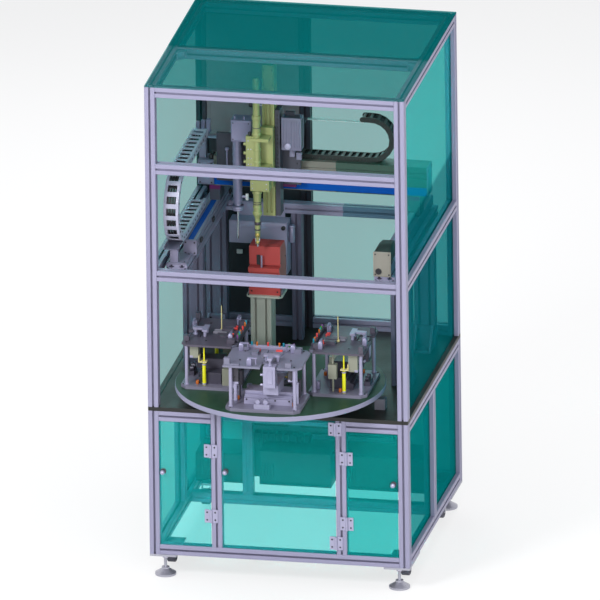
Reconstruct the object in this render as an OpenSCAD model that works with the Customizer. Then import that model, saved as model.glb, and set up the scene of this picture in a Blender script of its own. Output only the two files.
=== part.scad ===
// Screw fastening machine: a profile frame with see-through panels, a rotary
// indexing table with three jigs, and a gantry that carries a driver spindle.
// X is to the right, the front is -Y, and Z = 0 is the floor under the feet.

/* [Frame] */
// Outer width of the frame
frame_w = 1000; // [960:10:1200]
// Outer depth of the frame
frame_d = 1000; // [960:10:1200]
// Side of the square frame profile
profile = 40; // [38:1:44]
// Mouth width of the profile's T slots
slot_w = 8; // [7:0.5:10]
// Depth of the profile's T slots
slot_depth = 12; // [11:0.5:13]
// Width of the slot cavity behind its lips
cavity_w = 20; // [18:1:22]
// Height of the lower frame's underside above the floor
foot_h = 95; // [85:1:120]
// Height of the lower frame
lower_h = 575; // [520:5:650]
// Thickness of the table plate
plate_t = 15; // [10:1:25]
// Height of the upper frame
upper_h = 1282; // [1270:2:1400]
// Height of the middle rails above the table plate
mid_rail_h = 505; // [490:5:540]
// Height of the upper front rail above the table plate
high_rail_h = 934; // [880:2:980]
// Front mullion centre, measured from the machine's middle
mullion_x = 240; // [200:5:280]
// Rear mullion centre
rear_mullion_x = -80; // [-110:5:-50]
// Centre of the rail that crosses under the top panel
cross_rail_y = -40; // [-80:5:0]

/* [Panels and doors] */
// Thickness of the panels and doors
panel_t = 5; // [4:0.5:6]
// Running gap round a door
door_gap = 2; // [1.5:0.5:4]
// Height of a door hinge
hinge_h = 52; // [40:1:70]
// Width of an open hinge
hinge_w = 50; // [40:1:60]
// Thickness of a hinge leaf
leaf_t = 3; // [2:0.5:3.5]
// Radius of a hinge knuckle
knuckle_r = 4.7; // [4:0.1:4.9]
// Radius of a hinge pin
pin_r = 2.5; // [2:0.1:3]
// Diameter of a door knob
knob_d = 18; // [14:1:24]

/* [Feet and casters] */
// Width of a foot plate
foot_plate_w = 100; // [90:1:110]
// Length of a foot plate
foot_plate_l = 200; // [180:5:230]
// Thickness of a foot plate
foot_plate_t = 8; // [6:1:12]
// Distance from the frame's sides to the middle of a levelling foot
foot_inset = 50; // [48:1:60]
// Radius of a foot's pad
pad_r = 40; // [30:1:45]
// Radius of a foot's stud
stud_r = 6; // [5:0.5:8]
// Distance from a foot to its caster
caster_pitch = 105; // [100:1:115]
// Radius of a caster wheel
wheel_r = 30; // [25:1:32]
// Width of a caster wheel
wheel_w = 32; // [24:1:36]
// Distance from a caster's swivel axis to its axle
caster_trail = 22; // [16:1:24]
// Height of the wheels above the floor while the feet carry the machine
wheel_lift = 5; // [3:0.5:8]
// Radius of a caster axle
axle_r = 4; // [3:0.5:5]
// Radius of a caster kingpin
kingpin_r = 6; // [5:0.5:8]

/* [Indexing table] */
// Radius of the rotary table
disc_r = 398; // [380:1:400]
// Thickness of the rotary table
disc_t = 20; // [15:1:25]
// Centre of the rotary table, left or right
disc_x = -15; // [-25:1:25]
// Centre of the rotary table, front or back
disc_y = -370; // [-390:5:-360]
// Height of the rotary table's underside above the table plate
disc_lift = 65; // [60:1:75]
// Radius of the index drive's housing
drive_r = 115; // [100:1:130]
// Radius of the index drive's fixed centre spigot
spigot_r = 40; // [30:1:50]
// Radius of the index drive's output flange
flange_r = 90; // [80:1:98]

/* [Jigs] */
// Distance of a jig's middle from the table's centre
jig_r = 245; // [243:1:247]
// Width of a jig's base plate
jig_w = 287; // [260:1:288]
// Depth of a jig's base plate
jig_d = 226; // [200:1:228]
// Thickness of a jig's base plate
jig_base_t = 12; // [8:1:15]
// Height of a jig's posts
jig_post_h = 161; // [150:1:165]
// Radius of a jig's posts
jig_post_r = 7; // [5:0.5:9]
// Distance between a jig's posts, along its width
jig_post_x = 246; // [230:1:250]
// Distance between a jig's posts, along its depth
jig_post_y = 180; // [160:1:185]
// Thickness of a jig's top plate
jig_top_t = 8; // [6:1:10]
// Width of the notch in a jig's top plate
jig_notch_w = 66; // [60:1:80]
// Width of a jig's cylinder
cyl_w = 46; // [40:1:50]
// Depth of a jig's cylinder
cyl_d = 40; // [34:1:44]
// Height of a jig's cylinder
cyl_h = 84; // [80:1:90]
// Radius of a jig's clamp rod
clamp_rod_r = 5; // [4:0.5:6]
// Stroke of a jig's clamp
clamp_stroke = 20; // [10:1:22]

/* [Gantry] */
// Distance from the frame's side to the middle of a gantry beam
beam_inset = 100; // [95:5:115]
// Distance from the frame's front to the front end of the gantry's beams
beam_front_inset = 83; // [75:1:100]
// Distance from the frame's back to the rear end of the gantry's beams
beam_back_inset = 100; // [80:5:115]
// Front posts of the gantry
post_front_y = -100; // [-110:5:-60]
// Distance from the frame's back to the middle of the gantry's rear posts
post_back_inset = 160; // [145:5:180]
// Width of the Y module's body
y_body_w = 50; // [46:1:56]
// Height of the Y module
y_body_h = 60; // [55:1:65]
// Width of the cover strips
strip_w = 20; // [16:1:24]
// Thickness of the cover strips
strip_t = 2; // [1:0.5:3]
// Height of the bridge's underside above the Y module
bridge_lift = 60; // [56:1:66]
// Front face of the bridge
bridge_y = 150; // [140:5:160]
// Depth of the bridge
bridge_d = 80; // [70:1:90]
// Height of the bridge
bridge_h = 118; // [112:1:124]
// Distance from the frame's left side to the bridge's motor housing
bridge_left_inset = 70; // [66:1:75]
// Distance from the frame's right side to the bridge's right end
bridge_right_inset = 50; // [45:1:60]
// Length of the motor housing at the bridge's left end
motor_l = 60; // [50:1:70]
// Radial gap of a running shaft in its bore
bore_gap = 0.05; // [0.03:0.01:0.1]
// Gap between sliding faces
slide_gap = 0.3; // [0.2:0.05:0.4]

/* [Cable chains] */
// Height of the long chain's links
link_y_h = 28; // [24:1:32]
// Pitch of the long chain's pivots
link_y_pitch = 42; // [40:1:46]
// Height of the bridge chain's links
link_x_h = 20; // [18:1:24]
// Pitch of the bridge chain's pivots
link_x_pitch = 26; // [24:1:30]
// Width of a chain
chain_w = 57; // [50:1:60]
// Bend radius of the long chain
chain_y_r = 130; // [120:1:135]
// Bend radius of the bridge's chain
chain_x_r = 80; // [70:1:90]
// Distance from the frame's left side to the middle of the long chain
chain_y_inset = 83; // [80:1:85]
// Middle of the long chain's loop, front or back
chain_y_loop = -290; // [-300:5:-280]
// Middle of the bridge chain's loop, left or right
chain_x_loop = 233; // [220:1:240]

/* [Tools] */
// Driver axis, left or right
driver_x = -170; // [-176:1:-166]
// Driver axis, front or back
driver_y = -12; // [-16:1:-8]
// Height of the driver's bit tip above the floor
tip_z = 1171; // [1168:1:1180]
// Radius of the driver's body
driver_r = 15; // [13:0.5:16]
// Radius of the driver's bit
bit_r = 3; // [2:0.5:4]
// Middle of the Z module, left or right
z_module_x = -137; // [-140:1:-132]
// Width of the Z module
z_module_w = 46; // [40:1:50]
// Lower end of the Z module
z_module_low = 1277; // [1265:1:1290]
// Upper end of the Z module
z_module_high = 1880; // [1860:1:1890]
// Probe axis, left or right
probe_x = -262; // [-266:1:-256]
// Probe axis, front or back
probe_y = 70; // [66:1:74]
// Radius of the probe's cylinder
probe_r = 17.5; // [15:0.5:19]
// Radius of the probe's rod
probe_rod_r = 4; // [3:0.5:5]
// Height of the probe's lower end above the floor
probe_tip_z = 1168; // [1166:1:1180]

/* [Screw feeder] */
// Height of the feeder's column
column_h = 280; // [270:1:290]
// Width of the feeder
feeder_w = 119; // [110:1:124]
// Front face of the feeder
feeder_y = 15; // [12:1:18]
// Depth of the feeder
feeder_d = 130; // [120:1:140]
// Height of the feeder
feeder_h = 191; // [180:1:194]

/* [Hidden] */
$fn = 48;

// Half sizes of the frame and the faces that pieces seat on
half_w = frame_w / 2;
half_d = frame_d / 2;
half_p = profile / 2;
post_x = half_w - half_p;
post_y = half_d - half_p;
inner_x = half_w - profile;
inner_y = half_d - profile;
lower_top = foot_h + lower_h;
table_z = lower_top + plate_t;
mid_z = table_z + mid_rail_h;
high_z = table_z + high_rail_h;
frame_top = table_z + upper_h;
rail_top_z = frame_top - profile;
beam_top = mid_z + profile;

// Profile section
lip_t = 4.5;
cavity_taper = 5;
edge_chamfer = 1.5;
seat_gap = 0.3;
panel_reach = slot_depth - seat_gap;

// Doors and hinges
door_low = foot_h + profile + door_gap;
door_high = lower_top - profile - door_gap;
door_mid_high = lower_top - door_gap;
leaf_reach = hinge_w / 2;
hinge_y = -half_d - knuckle_r - seat_gap;
mullion_in = mullion_x - half_p;
mullion_out = mullion_x + half_p;
axis_left = -mullion_out - door_gap / 2;
axis_middle = mullion_in - door_gap / 2;
axis_right = mullion_out + door_gap / 2;
hinge_low_z = foot_h + 166;
hinge_high_z = lower_top - 148;
hinge_mid_low_z = foot_h + 86;
hinge_mid_high_z = lower_top - 32;
knob_z = foot_h + 337;
knob_inset = 15;
knob_reach = 22;
knob_shaft_r = 4;

// Feet and casters
foot_x = half_w - foot_inset;
foot_y = half_d - foot_inset;
plate_low = foot_h - foot_plate_t;
caster_plate_t = 6;
caster_plate_w = 60;
caster_plate_low = plate_low - caster_plate_t;
fork_t = 3;
fork_gap = 1;
axle_z = wheel_lift + wheel_r;
fork_top = caster_plate_low - seat_gap;
fork_half = wheel_w / 2 + fork_gap + fork_t;
CASTER_SIDES = [[-1, -1], [1, -1], [-1, 1], [1, 1]];

// Rotary table and jigs
disc_low = table_z + disc_lift;
disc_top = disc_low + disc_t;
drive_cap_t = 10;
drive_top = disc_low - drive_cap_t;
jig_base_top = disc_top + jig_base_t;
jig_top_low = jig_base_top + jig_post_h;
jig_top_high = jig_top_low + jig_top_t;
jig_chamfer = 22;
guide_w = 184;
guide_h = 45;
guide_d = 60;
guide_x_mid = 12;
guide_y = 8;
riser_h = 38;
cyl_x = 26;
cyl_y = -74;
cyl_low = jig_base_top + guide_h + riser_h;
cyl_top = cyl_low + cyl_h;
clamp_top = jig_top_high + clamp_stroke;
clamp_t = 8;
JIG_TURNS = [0, -90, 90];

// Gantry
beam_x = half_w - beam_inset;
beam_front_y = beam_front_inset - half_d;
beam_back_y = half_d - beam_back_inset;
post_back_y = half_d - post_back_inset;
bridge_left = bridge_left_inset - half_w;
bridge_right = half_w - bridge_right_inset;
chain_y_x = chain_y_inset - half_w;
y_body_left = -beam_x + 4;
y_body_x = y_body_left + y_body_w / 2;
tray_left = chain_y_x - chain_w / 2 - 1;
y_top = beam_top + y_body_h;
y_end_front = 115;
y_end_t = 10;
y_end_back = 40;
bridge_z = y_top + bridge_lift;
bridge_top = bridge_z + bridge_h;
bridge_mid_y = bridge_y + bridge_d / 2;
slider_l = bridge_d;
motor_top = bridge_top - 20;
x_strip_h = 32;
guide_x = beam_x - 8;
guide_rail_w = 20;
guide_rail_h = 15;
guide_body_w = 60;
guide_body_h = 40;

// Cable chains
chain_y_low = y_top + link_y_h / 2;
chain_x_low = bridge_top + link_x_h / 2;
chain_x_y = bridge_y + 50;
bar_t = 3;

// Screw feeder and its column
feeder_x = -154.5;
column_x = -170;
column_y = 70;

// Tool carriage
x_slider_y = bridge_y - seat_gap;
x_slider_t = 24;
tool_plate_back = x_slider_y - x_slider_t;
tool_plate_t = 15;
tool_plate_y = tool_plate_back - tool_plate_t;
tool_plate_left = z_module_x - 213;
tool_plate_right = z_module_x + 110;
tool_plate_low = bridge_z + 35;
tool_plate_high = bridge_z + 225;
z_module_d = 60;
z_module_y = tool_plate_y - z_module_d;
z_slider_t = 30;
z_slider_y = z_module_y - slide_gap - z_slider_t;

// Outline of a w by d rectangle with its corners cut back by c
function chamfered(w, d, c) = [
    [-w / 2 + c, -d / 2], [w / 2 - c, -d / 2], [w / 2, -d / 2 + c], [w / 2, d / 2 - c],
    [w / 2 - c, d / 2], [-w / 2 + c, d / 2], [-w / 2, d / 2 - c], [-w / 2, -d / 2 + c]
];

// Box from one corner to the opposite one
module box(low, high) {
    translate(low) cube(high - low);
}

// Rod along Z
module rod_z(x, y, z0, z1, r) {
    translate([x, y, z0]) cylinder(h = z1 - z0, r = r);
}

// Rod along Y
module rod_y(x, z, y0, y1, r) {
    translate([x, y1, z]) rotate([90, 0, 0]) cylinder(h = y1 - y0, r = r);
}

// Rod along X
module rod_x(y, z, x0, x1, r) {
    translate([x0, y, z]) rotate([0, 90, 0]) cylinder(h = x1 - x0, r = r);
}

// Cavity of one T slot, with its mouth at x = 0 and its floor toward -X
module t_slot() {
    floor_w = cavity_w - 2 * cavity_taper;
    polygon([
        [1, -slot_w / 2], [1, slot_w / 2], [-lip_t, slot_w / 2], [-lip_t, cavity_w / 2],
        [cavity_taper - slot_depth, cavity_w / 2], [-slot_depth, floor_w / 2],
        [-slot_depth, -floor_w / 2], [cavity_taper - slot_depth, -cavity_w / 2],
        [-lip_t, -cavity_w / 2], [-lip_t, -slot_w / 2]
    ]);
}

// Section of a T slot profile that is cells_x by cells_y modules wide
module profile_section(cells_x = 1, cells_y = 1) {
    w = cells_x * profile;
    d = cells_y * profile;
    difference() {
        polygon(chamfered(w, d, edge_chamfer));
        for (i = [0 : cells_y - 1]) {
            y = (i - (cells_y - 1) / 2) * profile;
            translate([w / 2, y]) t_slot();
            translate([-w / 2, y]) rotate(180) t_slot();
        }
        for (i = [0 : cells_x - 1]) {
            x = (i - (cells_x - 1) / 2) * profile;
            translate([x, d / 2]) rotate(90) t_slot();
            translate([x, -d / 2]) rotate(-90) t_slot();
        }
    }
}

// Lengths of profile along Z, X and Y, placed by their centre lines
module bar_z(x, y, z0, z1, cells_x = 1, cells_y = 1) {
    translate([x, y, z0]) linear_extrude(z1 - z0) profile_section(cells_x, cells_y);
}

module bar_x(x0, x1, y, z) {
    translate([x0, y, z]) rotate([90, 0, 90]) linear_extrude(x1 - x0) profile_section();
}

module bar_y(x, y0, y1, z, cells_x = 1) {
    translate([x, y1, z]) rotate([90, 0, 0]) linear_extrude(y1 - y0) profile_section(cells_x);
}

// Plate upright in the YZ plane, through x
module side_plate(x, y0, y1, z0, z1) {
    box([x - panel_t / 2, y0, z0], [x + panel_t / 2, y1, z1]);
}

// Plate upright in the XZ plane, through y
module cross_plate(y, x0, x1, z0, z1) {
    box([x0, y - panel_t / 2, z0], [x1, y + panel_t / 2, z1]);
}

// Lower frame
module lower_posts() {
    color([0.66, 0.64, 0.74]) {
        for (sx = [-1, 1]) {
            for (sy = [-1, 1]) bar_z(sx * post_x, sy * post_y, foot_h, lower_top);
            bar_z(sx * mullion_x, -post_y, foot_h + profile, lower_top);
            bar_z(sx * post_x, 0, foot_h + profile, lower_top - profile);
        }
    }
}

module lower_rails() {
    low_z = foot_h + half_p;
    high_rail = lower_top - half_p;
    color([0.66, 0.64, 0.74]) {
        for (s = [-1, 1]) {
            bar_x(-inner_x, inner_x, s * post_y, low_z);
            bar_y(s * post_x, -inner_y, inner_y, low_z);
            bar_y(s * post_x, -inner_y, inner_y, high_rail);
        }
        bar_x(-inner_x, inner_x, post_y, high_rail);
        bar_x(-inner_x, -mullion_out, -post_y, high_rail);
        bar_x(mullion_out, inner_x, -post_y, high_rail);
        bar_x(-mullion_out, mullion_out, -post_y + profile, high_rail);
    }
}

module lower_panels() {
    z0 = foot_h + profile - panel_reach;
    z1 = lower_top - profile + panel_reach;
    color([0.1, 0.55, 0.53, 0.5]) {
        for (sx = [-1, 1]) {
            side_plate(sx * post_x, -inner_y - panel_reach, -half_p + panel_reach, z0, z1);
            side_plate(sx * post_x, half_p - panel_reach, inner_y + panel_reach, z0, z1);
        }
        cross_plate(post_y, -inner_x - panel_reach, inner_x + panel_reach, z0, z1);
    }
}

// Feet: a thick plate under each corner takes the foot's stud and the caster
module foot_plates() {
    color([0.6, 0.6, 0.66]) for (s = CASTER_SIDES) {
        x0 = s[0] * half_w;
        y0 = s[1] * half_d;
        difference() {
            box([min(x0, x0 - s[0] * foot_plate_w), min(y0, y0 - s[1] * foot_plate_l), plate_low],
                [max(x0, x0 - s[0] * foot_plate_w), max(y0, y0 - s[1] * foot_plate_l), foot_h]);
            rod_z(s[0] * foot_x, s[1] * foot_y, plate_low - 1, foot_h + 1, stud_r);
        }
        translate([s[0] * foot_x, s[1] * (foot_y - caster_pitch), caster_plate_low]) difference() {
            linear_extrude(caster_plate_t) polygon(chamfered(caster_plate_w, caster_plate_w, 4));
            translate([0, 0, -1]) cylinder(h = caster_plate_t + 2, r = kingpin_r + bore_gap);
        }
    }
}

module levelling_feet() {
    rim_h = 8;
    neck_r = 15;
    neck_z = 30;
    nut_r = 11;
    nut_h = 10;
    color([0.8, 0.8, 0.84]) for (s = CASTER_SIDES) translate([s[0] * foot_x, s[1] * foot_y, 0]) {
        rotate_extrude() polygon([
            [0, 0], [pad_r, 0], [pad_r, rim_h], [pad_r * 0.7, rim_h + 7], [neck_r, neck_z - 6],
            [neck_r, neck_z], [stud_r, neck_z], [stud_r, plate_low - nut_h], [0, plate_low - nut_h]
        ]);
        translate([0, 0, plate_low - nut_h]) cylinder(h = nut_h, r = nut_r, $fn = 6);
        translate([0, 0, plate_low]) cylinder(h = foot_plate_t, r = stud_r);
    }
}

// Casters: a fork with its kingpin in the plate above, and a wheel on the fork's axle
module caster_fork(sx, sy) {
    leg_r = 12;
    top_t = 4;
    top_low = fork_top - top_t;
    reach = -sy * caster_trail;
    color([0.78, 0.78, 0.8]) translate([sx * foot_x, sy * (foot_y - caster_pitch), 0]) {
        translate([0, 0, fork_top]) cylinder(h = plate_low - fork_top - seat_gap, r = kingpin_r);
        translate([0, 0, top_low]) linear_extrude(top_t) union() {
            circle(r = fork_half);
            translate([0, reach / 4]) square([2 * fork_half, 2 * leg_r], center = true);
        }
        for (side = [-1, 1]) {
            x_leg = side * (fork_half - fork_t / 2) - fork_t / 2;
            translate([x_leg, 0, 0]) rotate([90, 0, 90]) linear_extrude(fork_t) polygon([
                [-leg_r, top_low], [leg_r, top_low], [reach + leg_r * 0.7, axle_z - 8],
                [reach, axle_z - 10], [reach - leg_r * 0.7, axle_z - 8]
            ]);
        }
        rod_x(reach, axle_z, -fork_half + fork_t, fork_half - fork_t, axle_r);
    }
}

module caster_wheel(sx, sy) {
    reach = -sy * caster_trail;
    tread_c = 3;
    hub_r = 14;
    dish = 5;
    color([0.2, 0.2, 0.22]) translate([sx * foot_x, sy * (foot_y - caster_pitch) + reach, axle_z])
        rotate([0, 90, 0]) rotate_extrude() polygon([
            [axle_r + bore_gap, -wheel_w / 2], [hub_r, -wheel_w / 2], [hub_r + 2, dish - wheel_w / 2],
            [wheel_r - 8, dish - wheel_w / 2], [wheel_r - 7, -wheel_w / 2], [wheel_r - tread_c, -wheel_w / 2],
            [wheel_r, tread_c - wheel_w / 2], [wheel_r, wheel_w / 2 - tread_c],
            [wheel_r - tread_c, wheel_w / 2], [wheel_r - 7, wheel_w / 2], [wheel_r - 8, wheel_w / 2 - dish],
            [hub_r + 2, wheel_w / 2 - dish], [hub_r, wheel_w / 2], [axle_r + bore_gap, wheel_w / 2]
        ]);
}

// Table plate and upper frame
module table_plate() {
    color([0.42, 0.39, 0.38]) translate([0, 0, lower_top])
        linear_extrude(plate_t) polygon(chamfered(frame_w, frame_d, edge_chamfer));
}

module upper_posts() {
    color([0.66, 0.64, 0.74]) {
        for (sx = [-1, 1]) for (sy = [-1, 1]) bar_z(sx * post_x, sy * post_y, table_z, frame_top);
        bar_z(rear_mullion_x, post_y, table_z, rail_top_z);
    }
}

module upper_rails() {
    color([0.66, 0.64, 0.74]) {
        for (z = [mid_z, high_z, rail_top_z]) bar_x(-inner_x, inner_x, -post_y, z + half_p);
        for (z = [mid_z, rail_top_z]) for (s = [-1, 1]) bar_y(s * post_x, -inner_y, inner_y, z + half_p);
        bar_x(-inner_x, inner_x, post_y, rail_top_z + half_p);
        bar_x(seat_gap - inner_x, inner_x - seat_gap, cross_rail_y, rail_top_z + half_p);
        bar_x(-inner_x, rear_mullion_x - half_p, post_y, table_z + half_p);
        bar_x(rear_mullion_x + half_p, inner_x, post_y, table_z + half_p);
    }
}

module top_panel() {
    color([0.1, 0.55, 0.53, 0.5]) translate([0, 0, frame_top])
        linear_extrude(panel_t) polygon(chamfered(frame_w, frame_d, edge_chamfer));
}

module side_panels() {
    y0 = -inner_y - panel_reach;
    color([0.1, 0.55, 0.53, 0.5]) for (sx = [-1, 1]) {
        side_plate(sx * post_x, y0, -y0, table_z + seat_gap, mid_z + panel_reach);
        side_plate(sx * post_x, y0, -y0, mid_z + profile - panel_reach, rail_top_z + panel_reach);
    }
}

// Panel between x0 and x1 at the back, from the rail on the table to the top rail
module back_panel(x0, x1) {
    cross_plate(post_y, x0 - panel_reach, x1 + panel_reach, table_z + profile - panel_reach,
        rail_top_z + panel_reach);
}

module back_panel_clear() {
    color([0.1, 0.55, 0.53, 0.5]) back_panel(rear_mullion_x + half_p, inner_x);
}

module back_panel_dark() {
    color([0.25, 0.27, 0.3]) back_panel(-inner_x, rear_mullion_x - half_p);
}

// Doors: side is 1 where the hinges' frame leaves lie to the right of the axis
module door_plate(x0, x1, z1) {
    color([0.1, 0.55, 0.53, 0.5]) box([x0, -half_d, door_low], [x1, -half_d + panel_t, z1]);
}

module door_left() {
    door_plate(-inner_x + door_gap, -mullion_out - door_gap, door_high);
}

module door_middle() {
    door_plate(-mullion_in + door_gap, mullion_in - door_gap, door_mid_high);
}

module door_right() {
    door_plate(mullion_out + door_gap, inner_x - door_gap, door_high);
}

// Hinge half with its leaf on the given side of the axis; the frame half holds the pin
module hinge_half(axis, z, side, is_frame) {
    third = hinge_h / 3;
    bottom = z - hinge_h / 2;
    leaf_in = knuckle_r + seat_gap;
    spans = is_frame ? [[0, third - seat_gap / 2], [2 * third + seat_gap / 2, hinge_h]]
        : [[third + seat_gap / 2, 2 * third - seat_gap / 2]];
    translate([axis, 0, bottom]) {
        difference() {
            union() {
                box([min(side * leaf_in, side * leaf_reach), -half_d - leaf_t, 0],
                    [max(side * leaf_in, side * leaf_reach), -half_d, hinge_h]);
                for (span = spans) {
                    rod_z(0, hinge_y, span[0], span[1], knuckle_r);
                    box([min(0, side * leaf_in), -half_d - leaf_t, span[0]],
                        [max(0, side * leaf_in), -half_d - seat_gap, span[1]]);
                }
            }
            if (!is_frame) rod_z(0, hinge_y, -1, hinge_h + 1, pin_r + bore_gap);
        }
        if (is_frame) rod_z(0, hinge_y, third - seat_gap / 2, 2 * third + seat_gap / 2, pin_r);
    }
}

module knob(x, z) {
    ball_y = -half_d - knob_reach;
    color([0.3, 0.28, 0.32]) union() {
        rod_y(x, z, ball_y, -half_d, knob_shaft_r);
        translate([x, ball_y, z]) sphere(d = knob_d);
        rod_y(x, z, -half_d - 3, -half_d, knob_shaft_r * 2);
    }
}

module hinge_frame_leaves() {
    color([0.72, 0.72, 0.78]) {
        for (z = [hinge_low_z, hinge_high_z]) {
            hinge_half(axis_left, z, 1, true);
            hinge_half(axis_right, z, -1, true);
        }
        for (z = [hinge_mid_low_z, hinge_mid_high_z]) hinge_half(axis_middle, z, 1, true);
    }
}

module door_left_fittings() {
    color([0.72, 0.72, 0.78]) for (z = [hinge_low_z, hinge_high_z]) hinge_half(axis_left, z, -1, false);
    knob(-inner_x + door_gap + knob_inset, knob_z);
}

module door_middle_fittings() {
    color([0.72, 0.72, 0.78])
        for (z = [hinge_mid_low_z, hinge_mid_high_z]) hinge_half(axis_middle, z, -1, false);
    knob(-mullion_in + door_gap + knob_inset, knob_z + 13);
}

module door_right_fittings() {
    color([0.72, 0.72, 0.78]) for (z = [hinge_low_z, hinge_high_z]) hinge_half(axis_right, z, 1, false);
    knob(inner_x - door_gap - knob_inset, knob_z);
}

// Control panel on the cabinet's floor rails, behind the doors
module control_panel() {
    half = inner_x - 160;
    unit = half / 15;
    mount_y = half_d - 200;
    mount_t = 3;
    board_h = 440;
    box_low = 250;
    box_h = 160;
    box_d = 120;
    relay_w = 1.96 * unit;
    relay_pitch = 2.3 * unit;
    strap_w = 2 * unit;
    z0 = foot_h + profile;
    color([0.4, 0.42, 0.46]) {
        box([-half, mount_y, z0], [half, mount_y + mount_t, z0 + board_h]);
        box([-13 * unit, mount_y - box_d, z0 + box_low], [-5 * unit, mount_y, z0 + box_low + box_h]);
        translate([0, 0, z0 + box_low - 10])
            box([-3 * unit, mount_y - box_d * 0.75, 0], [5 * unit, mount_y, box_h]);
        for (i = [0 : 2]) translate([7 * unit + i * relay_pitch, 0, z0 + box_low + 10])
            box([0, mount_y - box_d * 0.6, 0], [relay_w, mount_y, box_h * 0.75]);
        for (sx = [-1, 1]) translate([sx * (half - strap_w / 2), 0, z0])
            box([-strap_w / 2, mount_y + mount_t, 0], [strap_w / 2, inner_y + profile / 3, mount_t]);
    }
}

// Gantry: posts with foot brackets carry two beams, tied at the back
module foot_bracket(x, y, turn) {
    w = 70;
    reach = 70;
    high = 90;
    t = 8;
    translate([x, y, table_z]) rotate(turn) {
        box([-w / 2, -reach, 0], [w / 2, 0, t]);
        box([-w / 2, -t, t], [w / 2, 0, high]);
        for (x_rib = [-w / 2, w / 2 - t]) translate([x_rib, 0, 0]) rotate([90, 0, 90])
            linear_extrude(t) polygon([[-reach, t], [-t, t], [-t, high]]);
    }
}

module gantry_posts() {
    mid_post_x = -90;
    color([0.62, 0.6, 0.7]) {
        for (sx = [-1, 1]) {
            for (y = [post_front_y, post_back_y]) bar_z(sx * beam_x, y, table_z, mid_z, 2, 1);
            foot_bracket(sx * beam_x, post_front_y + half_p, 180);
            foot_bracket(sx * beam_x, post_back_y - half_p, 0);
        }
        bar_z(mid_post_x, post_back_y, table_z, mid_z);
    }
}

module gantry_beams() {
    tie_end = beam_x - profile - seat_gap;
    color([0.62, 0.6, 0.7]) {
        for (sx = [-1, 1]) bar_y(sx * beam_x, beam_front_y, beam_back_y, mid_z + half_p, 2);
        bar_x(-tie_end, tie_end, post_back_y, mid_z + half_p);
    }
}

// Linear module on the left beam, with the tray that the long chain lies on
module y_module() {
    w = y_body_w;
    h = y_body_h;
    groove = 3;
    groove_low = h * 0.35;
    groove_high = h * 0.55;
    edge = 4;
    recess = strip_t + 1;
    strip_half = strip_w / 2 + 1;
    seat_t = 8;
    tray_t = 2;
    tray_lip = 12;
    tray_back = 110;
    leg_l = 24;
    color([0.72, 0.72, 0.78]) {
        translate([y_body_left, beam_back_y - y_end_back, beam_top]) rotate([90, 0, 0])
            linear_extrude(beam_back_y - beam_front_y - y_end_front - y_end_t - y_end_back) polygon([
                [0, 0], [w, 0], [w, groove_low - groove], [w - groove, groove_low], [w - groove, groove_high],
                [w, groove_high + groove], [w, h - edge], [w - edge, h], [w / 2 + strip_half, h],
                [w / 2 + strip_half, h - recess], [w / 2 - strip_half, h - recess], [w / 2 - strip_half, h],
                [edge, h], [0, h - edge], [0, groove_high + groove], [groove, groove_high],
                [groove, groove_low], [0, groove_low - groove]
            ]);
        translate([y_body_x, beam_front_y + y_end_front + y_end_t, beam_top + h / 2]) rotate([90, 0, 0])
            linear_extrude(y_end_t) polygon(chamfered(w, h, 3));
        translate([y_body_x, beam_back_y, beam_top + h / 2]) rotate([90, 0, 0])
            linear_extrude(y_end_back) polygon(chamfered(w, h, 3));
        box([-beam_x - profile + 2, beam_front_y, beam_top],
            [-beam_x + profile - 2, beam_front_y + y_end_front - seat_gap, beam_top + seat_t]);
        box([tray_left, beam_front_y, y_top - tray_t], [y_body_left, tray_back, y_top]);
        box([tray_left - tray_t, beam_front_y, y_top - tray_t], [tray_left, tray_back, y_top + tray_lip]);
        translate([0, beam_front_y + 8, 0])
            box([tray_left + 20, 0, beam_top + seat_t], [y_body_left, leg_l, y_top - tray_t]);
        for (y = [-160, 60])
            box([tray_left + 20, y, beam_top], [y_body_left, y + leg_l, y_top - tray_t]);
    }
}

module y_strip() {
    front = beam_front_y + y_end_front + y_end_t;
    back = beam_back_y - y_end_back;
    color([0.05, 0.25, 0.5]) box([y_body_x - strip_w / 2, front, y_top - strip_t - 1],
        [y_body_x + strip_w / 2, back, y_top - 1]);
}

// Guide rail on the right beam
module y_guide() {
    color([0.62, 0.6, 0.7]) {
        box([guide_x - guide_body_w / 2, beam_front_y, beam_top],
            [guide_x + guide_body_w / 2, beam_back_y, beam_top + guide_body_h]);
        translate([guide_x, beam_back_y, beam_top + guide_body_h]) rotate([90, 0, 0])
            linear_extrude(beam_back_y - beam_front_y) polygon([
                [-guide_rail_w / 2, 0], [guide_rail_w / 2, 0], [guide_rail_w / 2, 4],
                [guide_rail_w / 2 - 3, 7], [guide_rail_w / 2, 10], [guide_rail_w / 2, guide_rail_h],
                [-guide_rail_w / 2, guide_rail_h], [-guide_rail_w / 2, 10],
                [3 - guide_rail_w / 2, 7], [-guide_rail_w / 2, 4]
            ]);
    }
}

// Energy chains: a link has two side plates, rounded at one pivot and hollowed
// round the other, and two bars across. Links follow a straight, a half turn and a straight.
function chain_point(s, low_run, r) =
    let (turn = (s - low_run) / r * 180 / PI)
    s < low_run ? [s, 0]
    : s < low_run + PI * r ? [low_run + r * sin(turn), r - r * cos(turn)]
    : [2 * low_run + PI * r - s, 2 * r];

module chain_link(pitch, high, plate) {
    r = high / 2;
    pivot_gap = 0.4;
    bar_w = pitch * 0.42;
    for (z = [0, chain_w - plate]) translate([0, 0, z]) linear_extrude(plate) difference() {
        union() {
            translate([0, -r]) square([pitch, high]);
            translate([pitch, 0]) circle(r = r);
        }
        circle(r = r + pivot_gap);
    }
    for (y = [-r, r - bar_t]) translate([pitch / 2 + 2, y, plate])
        cube([bar_w, bar_t, chain_w - 2 * plate]);
}

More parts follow.
